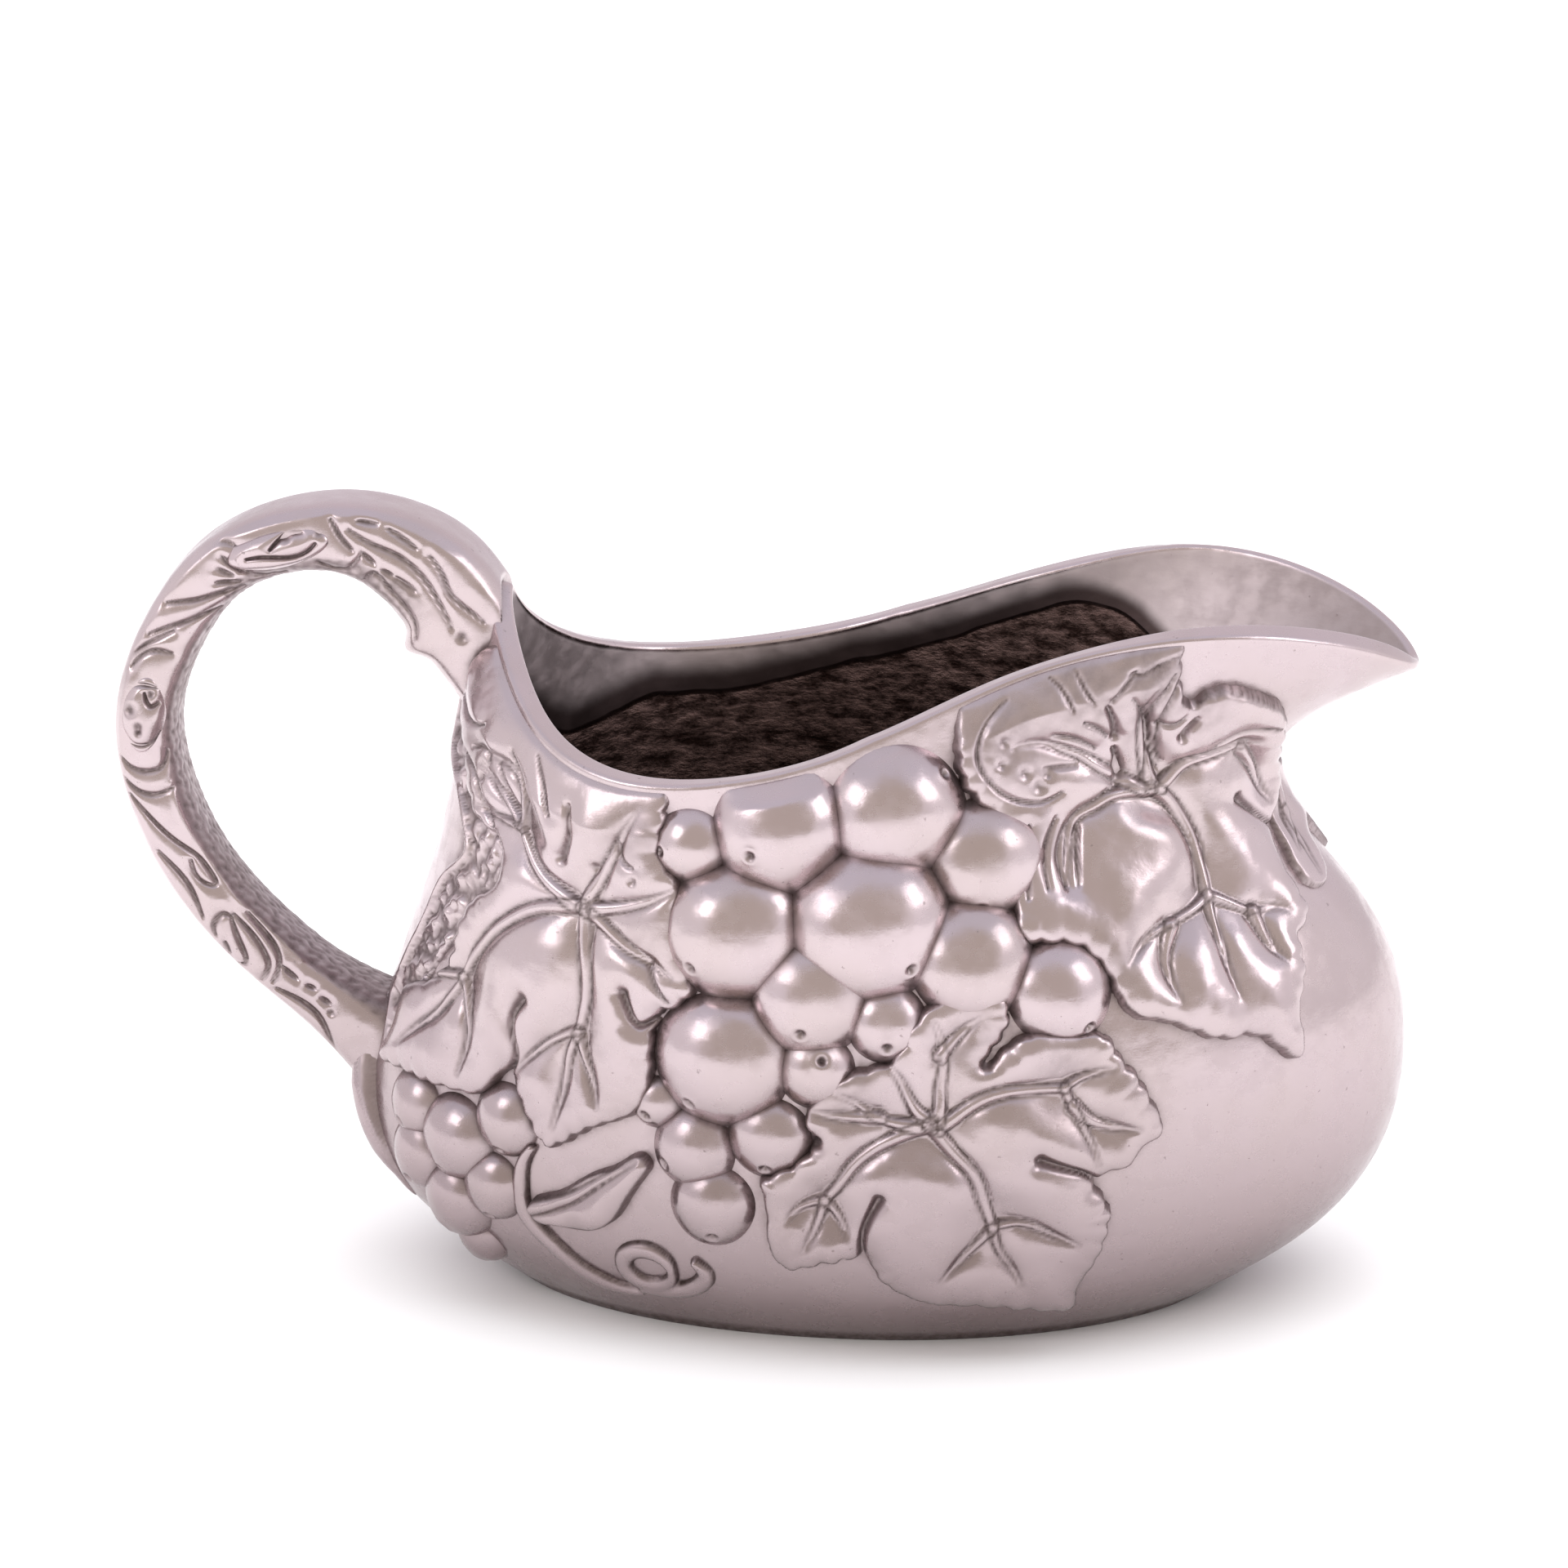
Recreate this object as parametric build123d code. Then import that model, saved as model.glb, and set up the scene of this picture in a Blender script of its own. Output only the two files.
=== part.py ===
"""Cast silver-finish sauce boat with a grape vine in relief: vessel, loop handle and the vine's pieces.

Frame: millimetres, +Z up, Z = 0 on the table, +X from the handle towards the spout. Y = 0 is the
symmetry plane, and the front is the -Y side. Every piece of the vine is made once for the front
and mirrored to the back, apart from the leaf under the spout, which lies on the symmetry plane.
"""
from build123d import *
import math
import os

import numpy as np

# ---- Driving dimensions ------------------------------------------------------------------
WALL = 3.8                 # thickness of the vessel's wall
FLOOR = 4.5                # thickness of the vessel's floor
BELLY_X = 19.0             # where the belly is widest, along X
TOP = 132.0                # construction height, above everything
LEAF_RISE = 1.9            # how far a leaf stands out of the wall
STEM_RISE = 1.7            # how far a cane or a tendril stands out of the wall
ROOT_RISE = 3.2            # how far the handle's two root strands stand out of the wall
CANE_WIDTH = 4.2
TENDRIL_WIDTH = 2.0
ROOT_WIDTH = 6.0
GRAPE_SINK = 0.5           # share of its radius by which a ball's centre is sunk into the wall
GRAPE_FULLNESS = 1.08      # how much wider a ball is than the circle left between its neighbours
COLUMNS = 33               # points from spout to handle along one side of a ring
ROWS = 19                  # points from the foot to the rim

# The vessel's rings, from the handle end to the spout end: (x, half width, z).
FOOT = [(-41, 0, 0), (-12, 30, 0), (17, 34.5, 0), (50, 27, 0), (71, 0, 0)]
HEEL = [(-56, 0, 11), (-18, 37, 10), (18, 43, 9.5), (58, 34, 10), (88, 0, 11.5)]
BELLY = [(-62.5, 0, 36), (-24, 39.5, 37), (19, 47.5, 38), (66, 37.5, 39), (99.7, 0, 40)]
SHOULDER = [(-54.5, 0, 61), (-26, 37.5, 61), (14, 46, 62), (60, 34.5, 64), (91.5, 0, 64)]
NECK = [(-49.5, 0, 80), (-36, 26, 79.5), (-20, 38, 79), (2, 42.8, 80.5), (24, 39.5, 84),
        (45, 31, 88), (60, 24.5, 90), (72, 15.5, 89.5), (79.3, 0, 88)]
RIM = [(-43.5, 0, 111), (-41, 10, 104.5), (-35, 24, 96.5), (-20, 38.5, 90.6), (0, 42, 92.2),
       (20, 38.5, 98.3), (40, 31.5, 106.3), (60, 29, 111.2), (80, 22.5, 110.4),
       (93, 13.5, 106), (100.6, 0, 100.5)]
RINGS = [FOOT, HEEL, BELLY, SHOULDER, NECK, RIM]
RING_SHARES = [0.0, 0.13, 0.42, 0.66, 0.86, 1.0]   # each ring's share of the way up the wall

# The handle's centre line from its upper root to its lower one: (x, z, depth, width along Y).
HANDLE = [(-39, 92, 15, 13), (-48, 105.9, 16.4, 15), (-55.1, 113.3, 14.6, 15.5),
          (-67, 117.3, 10.4, 14.5), (-82, 113.9, 9.2, 14), (-91.6, 104.2, 9.6, 14),
          (-97.2, 90, 9.8, 14), (-95.5, 75.2, 9.8, 14), (-88.8, 61.5, 9.8, 14),
          (-78.5, 50, 9.9, 14), (-67.6, 41.4, 11.4, 15), (-54.5, 32.2, 20, 18)]
HANDLE_ROUNDING = 0.22     # corner radius of the handle's section, as a share of its depth
HANDLE_FACE_Y = 7.0        # half the handle's width
BUD = (-75.7, 117, (8, 3.2, 3.6))         # leaf bud on the handle's side: x, z, half sizes
KNOT = (-97.2, 89, (3.6, 3.2, 6.2))       # knot on the handle's side: x, z, half sizes
BUD_SINK = 1.6             # how far the middle of a bud or a knot lies below the handle's face

# Places on the wall are (degrees round from the spout, height). Grapes add the radius of the
# circle that is left to them between their neighbours, where they meet the wall.
MAIN_GRAPES = [(113.8, 81.5, 5.2), (101.6, 84.4, 9.0), (86.7, 86.8, 9.4), (73.0, 79.5, 8.6),
               (106.9, 68.9, 9.5), (90.2, 70.8, 10.8), (77.5, 65.2, 8.4), (96.8, 59.5, 8.0),
               (67.9, 59.9, 7.2), (87.9, 55.9, 5.4), (106.5, 49.0, 9.5), (95.9, 48.3, 5.4),
               (113.8, 41.2, 3.8), (108.8, 34.4, 5.8), (100.6, 37.3, 5.8), (106.7, 25.5, 5.9)]
SMALL_GRAPES = [(141.6, 29.0, 6.2), (133.6, 34.1, 5.3), (151.3, 32.3, 5.0), (150.5, 23.9, 5.2),
                (144.4, 17.6, 5.8), (135.9, 22.4, 5.0), (146.6, 10.1, 4.2)]

# Outlines are drawn on a plane laid on the wall at a seat, X towards the spout, Y up the wall.
HANDLE_LEAF_SEAT = (125.8, 69.7)
HANDLE_LEAF = [(-42, -31), (-31, -33), (-19, -32), (-14.7, -26.4), (-10.9, -34.9), (-7, -38.2),
               (0, -35.6), (8.8, -31.4), (11, -14), (16.3, -9.5), (13.4, 5.9), (8.9, 14.6),
               (-5.7, 18.6), (-27.8, 23), (-33, 19), (-30.7, 7.2), (-35, 0), (-42, -11)]
SPOUT_LEAF_SEAT = (45.0, 86.7)
SPOUT_LEAF = [(16, 15), (22, 5), (22.5, -8), (21.5, -15), (20.5, -24), (19, -33), (15, -39.5),
              (3.6, -36.8), (-9.2, -30.4), (-13.5, -20), (-19.5, -16), (-23.5, -6), (-28, 5),
              (-28.5, 12.5), (-22.5, 16), (-8, 19.5)]
BASE_LEAF_SEAT = (83.4, 40.8)
BASE_LEAF = [(31.8, 9.2), (34.8, -1.3), (31.5, -6.6), (25.2, -9.8), (26.7, -14), (26, -22.4),
             (21, -29.5), (10, -31), (0, -29.4), (-7, -26), (-9.8, -21.4), (-14, -22),
             (-20.5, -23.6), (-25, -17), (-24.6, -8.4), (-19.5, -3.5), (-18, 3), (-11, 9.5),
             (-1.5, 16.5), (4.5, 19), (8.8, 10.5), (14, 12.3), (23.6, 13.4)]
THROAT_LEAF_SEAT = (0.0, 73.0)
THROAT_LEAF_HALF = [(8, 11.5), (11.5, 4), (13, -2.5), (9, -5.5), (4.5, -2)]
THROAT_LEAF_TOP = (0, 13)
THROAT_LEAF_NOTCH = (0, 2.5)
STEM_SEAT = (122.0, 20.0)
CANE = [(-9.4, -0.4), (-0.5, 4.2), (6.5, 9.2), (11, 13.4)]
TENDRIL = [(-10.6, 9), (-12.2, 5.5), (-12.6, 1.9), (-10.9, -2.4), (-7.2, -6.3), (-4.5, -10.4),
           (-0.2, -12.6), (5.6, -12.9)]
TENDRIL_TAIL = [(6.4, -12.9), (14, -10.6), (18, -8.2), (19.2, -5.2)]
CURL_CENTRE = (8.5, -6.6)  # the tendril's closed curl
CURL_RADIUS = 5.6
ROOT_SEAT = (168.0, 30.0)
ROOT_STRAND = [(-3.2, -2.5), (-0.5, -5), (1.7, -7.9), (3.6, -12.5)]
COLUMN_REACH = 24.0        # how far an outline is carried through the wall before it is cut
SKIN_BOTTOM = 3.0          # the lowest height at which relief may start
LID_MARGIN = 30.0          # how far the space above the rim reaches past the rim's ends and TOP
LID_HALF_WIDTH = 80.0      # how far it reaches to the front and to the back
SMALL_TURN = 1e-3          # change of angle or share over which a normal is measured
FINE = 400                 # shares looked at when a height on the wall is searched for

# ---- Splines -----------------------------------------------------------------------------
def spline_slopes(knots, values, closed):
    """Second derivatives of the cubic spline through values, natural at its ends or closed."""
    n = len(knots)
    step = np.diff(knots)
    rate = np.diff(values, axis=0) / step[:, None]
    system = np.eye(n)
    right = np.zeros_like(values)
    for i in range(1, n - 1):
        system[i, i - 1:i + 2] = step[i - 1], 2 * (step[i - 1] + step[i]), step[i]
        right[i] = 6 * (rate[i] - rate[i - 1])
    if closed:
        system[0, [0, 1, n - 2]] = 2 * (step[0] + step[-1]), step[0], step[-1]
        right[0] = 6 * (rate[0] - rate[-1])
        system[n - 1, [0, n - 1]] = -1, 1
    return np.linalg.solve(system, right)


def spline(knots, values, at, closed=False):
    """The cubic spline through values at knots, read at every number in at."""
    knots, at = np.asarray(knots, float), np.asarray(at, float)
    values = np.asarray(values, float)
    flat = values.reshape(len(knots), -1)
    bend = spline_slopes(knots, flat, closed)
    i = np.clip(np.searchsorted(knots, at, side="right") - 1, 0, len(knots) - 2)
    step = (knots[i + 1] - knots[i])[:, None]
    b = (at - knots[i])[:, None] / step
    a = 1 - b
    line = a * flat[i] + b * flat[i + 1]
    curve = ((a ** 3 - a) * bend[i] + (b ** 3 - b) * bend[i + 1]) * step ** 2 / 6
    return (line + curve).reshape((len(at),) + values.shape[1:])


# ---- The vessel's wall -------------------------------------------------------------------
def ring_points(ring, angles):
    """Points of a closed ring at these angles: 0 at the spout, pi at the handle, front first."""
    ring = np.array(ring, float)[::-1]
    reach = np.where(ring[:, 0] < BELLY_X, BELLY_X - ring[-1, 0], ring[0, 0] - BELLY_X)
    half = np.arccos(np.clip((ring[:, 0] - BELLY_X) / reach, -1, 1))
    knots = np.concatenate([half, 2 * math.pi - half[-2::-1]])
    side = np.concatenate([ring[:, 1:], ring[-2::-1, 1:] * [-1, 1]])
    y, z = spline(knots, side, np.mod(angles, 2 * math.pi), closed=True).T
    x = np.cos(angles)
    x = BELLY_X + x * np.where(x < 0, reach[-1], reach[0])
    return np.stack([x, -y, z], axis=-1)


def wall(angles, shares):
    """Points of the outer wall: one row for each share of the way up, one column for each angle."""
    rings = np.stack([ring_points(ring, angles) for ring in RINGS])
    return spline(RING_SHARES, rings, shares)


def wall_normals(angles, shares):
    """Outward unit normals of the outer wall."""
    around = wall(angles + SMALL_TURN, shares) - wall(angles - SMALL_TURN, shares)
    up = wall(angles, shares + SMALL_TURN) - wall(angles, shares - SMALL_TURN)
    normal = np.cross(up, around)
    return normal / np.linalg.norm(normal, axis=-1, keepdims=True)


def offset_wall(angles, shares, out):
    return wall(angles, shares) + out * wall_normals(angles, shares)


def share_at_height(angle, height):
    """How far up the wall the height is, as a share, along the meridian at this angle."""
    shares = np.linspace(0, 1, FINE)
    return float(np.interp(height, wall(np.array([angle]), shares)[:, 0, 2], shares))


def seat(angle_deg, height):
    """A plane on the outer wall: X along the wall towards the spout on the front, Z outward."""
    angle = np.array([math.radians(angle_deg)])
    share = np.array([share_at_height(angle[0], height)])
    point = wall(angle, share)[0, 0]
    normal = wall_normals(angle, share)[0, 0]
    along = np.cross([0, 0, 1], normal)
    return Plane(origin=tuple(point), x_dir=tuple(along), z_dir=tuple(normal))


def side_face(rows):
    """One smooth face through rows of points whose end points lie on the symmetry plane."""
    rows = np.array(rows)
    rows[:, [0, -1], 1] = 0
    return Face.make_surface_from_array_of_points([[tuple(p) for p in row] for row in rows])


def form(rows):
    """A closed solid: the wall through rows of front points, its mirror image, and flat ends.

    Above its last row the wall goes straight on up to TOP, to be cut off at the rim.
    """
    lower = side_face(rows)
    low_edge = lower.edges().sort_by(Axis.Z)[0]
    high_edge = lower.edges().sort_by(Axis.Z)[-1]
    crown = [Vector(*p[:2], TOP) for p in rows[-1] * [1, 1, 0]]
    crown_edge = Edge.make_spline([Vector(p.X, 0 if i in (0, len(crown) - 1) else p.Y, p.Z)
                                   for i, p in enumerate(crown)])
    upper = Face.make_surface_from_curves(high_edge, crown_edge)
    sides = [lower, upper]
    sides += [face.mirror(Plane.XZ) for face in sides]
    ends = [Face(Wire([edge, edge.mirror(Plane.XZ)])) for edge in (low_edge, crown_edge)]
    solid = Solid(Shell(sides + ends))
    return solid if solid.volume > 0 else -solid


def rows_between(low_height, out):
    """Rows of points on the wall moved outward by out, from a level ring at low_height to the rim."""
    angles = np.linspace(0, math.pi, COLUMNS)
    climb = np.linspace(0, 1, FINE)
    columns = []
    for angle in angles:
        column = offset_wall(np.array([angle]), climb, out)[:, 0]
        start = float(np.interp(low_height, column[:, 2], climb))
        shares = np.linspace(start, 1, ROWS)
        column = offset_wall(np.array([angle]), shares, out)[:, 0]
        column[0, 2] = low_height
        columns.append(column)
    return np.array(columns).transpose(1, 0, 2)


def above_rim():
    """Everything above the rim's line, which is the same for every Y."""
    line = [(x, z) for x, _, z in RIM]
    edge = Edge.make_spline([Vector(x, 0, z) for x, z in line])
    start, end = edge @ 0, edge @ 1
    far_left = Vector(start.X - LID_MARGIN, 0, start.Z + LID_MARGIN)
    far_right = Vector(end.X + LID_MARGIN, 0, end.Z - LID_MARGIN)
    top_left = Vector(far_left.X, 0, TOP + LID_MARGIN)
    top_right = Vector(far_right.X, 0, TOP + LID_MARGIN)
    outline = Wire([edge, Edge.make_line(end, far_right), Edge.make_line(far_right, top_right),
                    Edge.make_line(top_right, top_left), Edge.make_line(top_left, far_left),
                    Edge.make_line(far_left, start)])
    return extrude(Face(outline), amount=LID_HALF_WIDTH, both=True)


# ---- The handle --------------------------------------------------------------------------
def handle_loop():
    """The handle as a loft of rounded sections square to its centre line."""
    centres = [Vector(x, 0, z) for x, z, _, _ in HANDLE]
    line = Edge.make_spline(centres)
    sections = []
    for centre, (_, _, depth, width) in zip(centres, HANDLE):
        tangent = line % line.param_at_point(centre)
        plane = Plane(origin=centre, x_dir=(0, 1, 0), z_dir=tangent)
        sections.append(plane * RectangleRounded(width, depth, depth * HANDLE_ROUNDING))
    return loft(sections)


def on_handle(x, z, half_sizes, handle):
    """A low dome on the handle's front face."""
    ball = scale(Sphere(1), by=half_sizes)
    return Pos(x, BUD_SINK - HANDLE_FACE_Y, z) * ball - handle


# ---- The vine's pieces, made on the front --------------------------------------------------
def grapes(berries, outer):
    """A bunch of grapes: balls sunk into the wall, joined where they press together."""
    balls = []
    for angle_deg, height, footprint in berries:
        plane = seat(angle_deg, height)
        radius = GRAPE_FULLNESS * footprint / math.sqrt(1 - GRAPE_SINK ** 2)
        centre = plane.origin - plane.z_dir * radius * GRAPE_SINK
        balls.append(Pos(*centre) * Sphere(radius))
    return balls[0].fuse(*balls[1:]) - outer


def leaf_outline(points):
    return make_face(Spline(points, periodic=True))


def strand_outline(points, width):
    """The outline of a strand of even width along a smooth line, with round ends."""
    ends = [Pos(*points[i]) * Circle(width / 2) for i in (0, -1)]
    return trace(Spline(points), width) + ends


def tendril_outline():
    ring = Circle(CURL_RADIUS + TENDRIL_WIDTH / 2) - Circle(CURL_RADIUS - TENDRIL_WIDTH / 2)
    stems = [strand_outline(points, TENDRIL_WIDTH) for points in (TENDRIL, TENDRIL_TAIL)]
    return Pos(*CURL_CENTRE) * ring + stems


def throat_outline():
    other_half = [(-x, y) for x, y in reversed(THROAT_LEAF_HALF)]
    return leaf_outline([THROAT_LEAF_TOP] + THROAT_LEAF_HALF + [THROAT_LEAF_NOTCH] + other_half)


def column(place, outline):
    """The outline carried straight out of the wall, and into it, from its seat."""
    return extrude(seat(*place) * outline, amount=COLUMN_REACH, both=True)


def skin(rise):
    """The vessel's form grown outward by a relief's rise."""
    return form(rows_between(SKIN_BOTTOM, rise))


def largest(shape):
    """The biggest of a shape's separate solids: trimming it to its neighbours may leave slivers."""
    return shape.solids().sort_by(SortBy.VOLUME)[-1]


def write_both_sides(name, front):
    export_step(front, f"parts/{name}_front.step")
    export_step(front.mirror(Plane.XZ), f"parts/{name}_back.step")


def build():
    os.makedirs("parts", exist_ok=True)
    outer = form(wall(np.linspace(0, math.pi, COLUMNS), np.linspace(0, 1, ROWS)))
    inner = form(rows_between(FLOOR, -WALL))
    lid = above_rim()
    export_step(outer - inner - lid, "parts/vessel.step")

    handle = handle_loop() - outer
    export_step(handle, "parts/handle.step")
    write_both_sides("handle_bud", on_handle(*BUD, handle))
    write_both_sides("handle_knot", on_handle(*KNOT, handle))
    root = column(ROOT_SEAT, strand_outline(ROOT_STRAND, ROOT_WIDTH)) & skin(ROOT_RISE)
    write_both_sides("vine_root", largest(root - outer - handle))

    leaf_skin = skin(LEAF_RISE) - outer - lid
    handle_leaf = column(HANDLE_LEAF_SEAT, leaf_outline(HANDLE_LEAF))
    spout_leaf = column(SPOUT_LEAF_SEAT, leaf_outline(SPOUT_LEAF))
    base_leaf = column(BASE_LEAF_SEAT, leaf_outline(BASE_LEAF))
    write_both_sides("handle_leaf", handle_leaf & leaf_skin)
    write_both_sides("spout_leaf", spout_leaf & leaf_skin)
    write_both_sides("base_leaf", base_leaf & leaf_skin)
    throat_leaf = column(THROAT_LEAF_SEAT, throat_outline()) & leaf_skin
    throat_leaf = throat_leaf - spout_leaf - spout_leaf.mirror(Plane.XZ)
    export_step(largest(throat_leaf), "parts/throat_leaf.step")

    main_grapes = grapes(MAIN_GRAPES, outer) - handle_leaf - spout_leaf - base_leaf - lid
    small_grapes = grapes(SMALL_GRAPES, outer) - handle_leaf
    write_both_sides("main_grapes", main_grapes)
    write_both_sides("small_grapes", small_grapes)
    stem_skin = skin(STEM_RISE) - outer
    cane = column(STEM_SEAT, strand_outline(CANE, CANE_WIDTH)) & stem_skin
    tendril = column(STEM_SEAT, tendril_outline()) & stem_skin
    write_both_sides("cane", cane - main_grapes - small_grapes)
    write_both_sides("tendril", tendril - cane - main_grapes - small_grapes - handle_leaf)


if __name__ == "__main__":
    build()
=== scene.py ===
import math

import bpy
import numpy as np
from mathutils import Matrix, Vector


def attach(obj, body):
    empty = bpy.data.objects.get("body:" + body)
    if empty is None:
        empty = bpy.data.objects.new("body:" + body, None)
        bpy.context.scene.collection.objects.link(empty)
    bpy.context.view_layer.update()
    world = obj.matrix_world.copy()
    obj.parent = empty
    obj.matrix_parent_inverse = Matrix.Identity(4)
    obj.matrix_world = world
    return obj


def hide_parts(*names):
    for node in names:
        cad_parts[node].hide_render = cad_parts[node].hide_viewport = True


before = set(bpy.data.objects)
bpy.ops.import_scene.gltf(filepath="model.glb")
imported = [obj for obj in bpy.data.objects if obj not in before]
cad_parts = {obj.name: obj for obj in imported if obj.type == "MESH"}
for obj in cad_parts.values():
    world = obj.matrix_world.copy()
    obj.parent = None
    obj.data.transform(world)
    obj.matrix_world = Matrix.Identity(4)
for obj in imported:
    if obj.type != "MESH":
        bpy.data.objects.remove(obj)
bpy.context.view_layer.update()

# A cast sauce boat with a grape vine in relief. Sizes are in millimetres until a mesh is made.
# +X runs from the handle to the lip, the front is the -Y side, and the table is Z = 0.

MM = 0.001
WALL = 3.8                 # thickness of the vessel's wall
BELLY_X = 19.0             # where the belly is widest, along X
RIM_ROUNDING = 0.9         # radius of the rim's two edges
FLOOR_HEIGHT = 4.6         # the bowl's inner floor
FOOT_MIDDLE_X = 15.0       # the middle of the underside
VESSEL_COLUMNS = 400
UNDERSIDE_ROWS = 10
OUTER_ROWS = 170
INNER_ROWS = 130
LIP_THINNING = 0.55        # share of the wall's thickness that is gone at the tip of the lip
GRAPE_FULLNESS = 1.12      # how much wider a grape is than the circle left between its neighbours
GRAPE_SINK = 0.5           # share of its radius by which a ball's centre is sunk into the wall
BACK_DEPTH = 1.9           # how deep a relief piece's hidden back lies in the wall

# ---- The vessel's form, as in the CAD model ----
FOOT = [(-41, 0, 0), (-12, 30, 0), (17, 34.5, 0), (50, 27, 0), (71, 0, 0)]
HEEL = [(-56, 0, 11), (-18, 37, 10), (18, 43, 9.5), (58, 34, 10), (88, 0, 11.5)]
BELLY = [(-62.5, 0, 36), (-24, 39.5, 37), (19, 47.5, 38), (66, 37.5, 39), (99.7, 0, 40)]
SHOULDER = [(-54.5, 0, 61), (-26, 37.5, 61), (14, 46, 62), (60, 34.5, 64), (91.5, 0, 64)]
NECK = [(-49.5, 0, 80), (-36, 26, 79.5), (-20, 38, 79), (2, 42.8, 80.5), (24, 39.5, 84),
        (45, 31, 88), (60, 24.5, 90), (72, 15.5, 89.5), (79.3, 0, 88)]
RIM = [(-43.5, 0, 111), (-41, 10, 104.5), (-35, 24, 96.5), (-20, 38.5, 90.6), (0, 42, 92.2),
       (20, 38.5, 98.3), (40, 31.5, 106.3), (60, 29, 111.2), (80, 22.5, 110.4),
       (93, 13.5, 106), (100.6, 0, 100.5)]
RINGS = [FOOT, HEEL, BELLY, SHOULDER, NECK, RIM]
RING_SHARES = [0.0, 0.13, 0.42, 0.66, 0.86, 1.0]

# The handle's centre line: (x, z, depth, width along Y).
HANDLE = [(-39, 92, 15, 13), (-48, 105.9, 16.4, 15), (-55.1, 113.3, 14.6, 15.5), (-67, 117.3, 10.4, 14.5),
    (-82, 113.9, 9.2, 14), (-91.6, 104.2, 9.6, 14), (-97.2, 90, 9.8, 14), (-95.5, 75.2, 9.8, 14),
    (-88.8, 61.5, 9.8, 14), (-78.5, 50, 9.9, 14), (-67.6, 41.4, 11.4, 15), (-54.5, 32.2, 20, 18)]

# Grapes: (degrees round from the spout, height, radius of the circle left between neighbours, and
# where the pit is: its direction on the grape, 0 towards the spout and 90 up, and how far out).
MAIN_GRAPES = [(113.8, 81.5, 5.2, 190, 0.6), (101.6, 84.4, 9, 216, 0.45), (86.7, 86.8, 9.4, 40, 0.75),
    (73, 79.5, 8.6, 252, 0.75), (106.9, 68.9, 9.5, 225, 0.58), (90.2, 70.8, 10.8, 312, 0.65),
    (77.5, 65.2, 8.4, 20, 0.8), (96.8, 59.5, 8, 259, 0.45), (67.9, 59.9, 7.2, 305, 0.72),
    (87.9, 55.9, 5.4, 270, 0.45), (106.5, 49, 9.5, 236, 0.62), (95.9, 48.3, 5.4, 60, 0.4),
    (113.8, 41.2, 3.8, 240, 0.45), (108.8, 34.4, 5.8, 210, 0.65), (100.6, 37.3, 5.8, 268, 0.6),
    (106.7, 25.5, 5.9, 278, 0.55)]
SMALL_GRAPES = [(141.6, 29, 6.2, 250, 0.65), (133.6, 34.1, 5.3, 266, 0.7), (151.3, 32.3, 5, 250, 0.5),
    (150.5, 23.9, 5.2, 260, 0.5), (144.4, 17.6, 5.8, 240, 0.5), (135.9, 22.4, 5, 270, 0.65),
    (146.6, 10.1, 4.2, 250, 0.5)]

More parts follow.
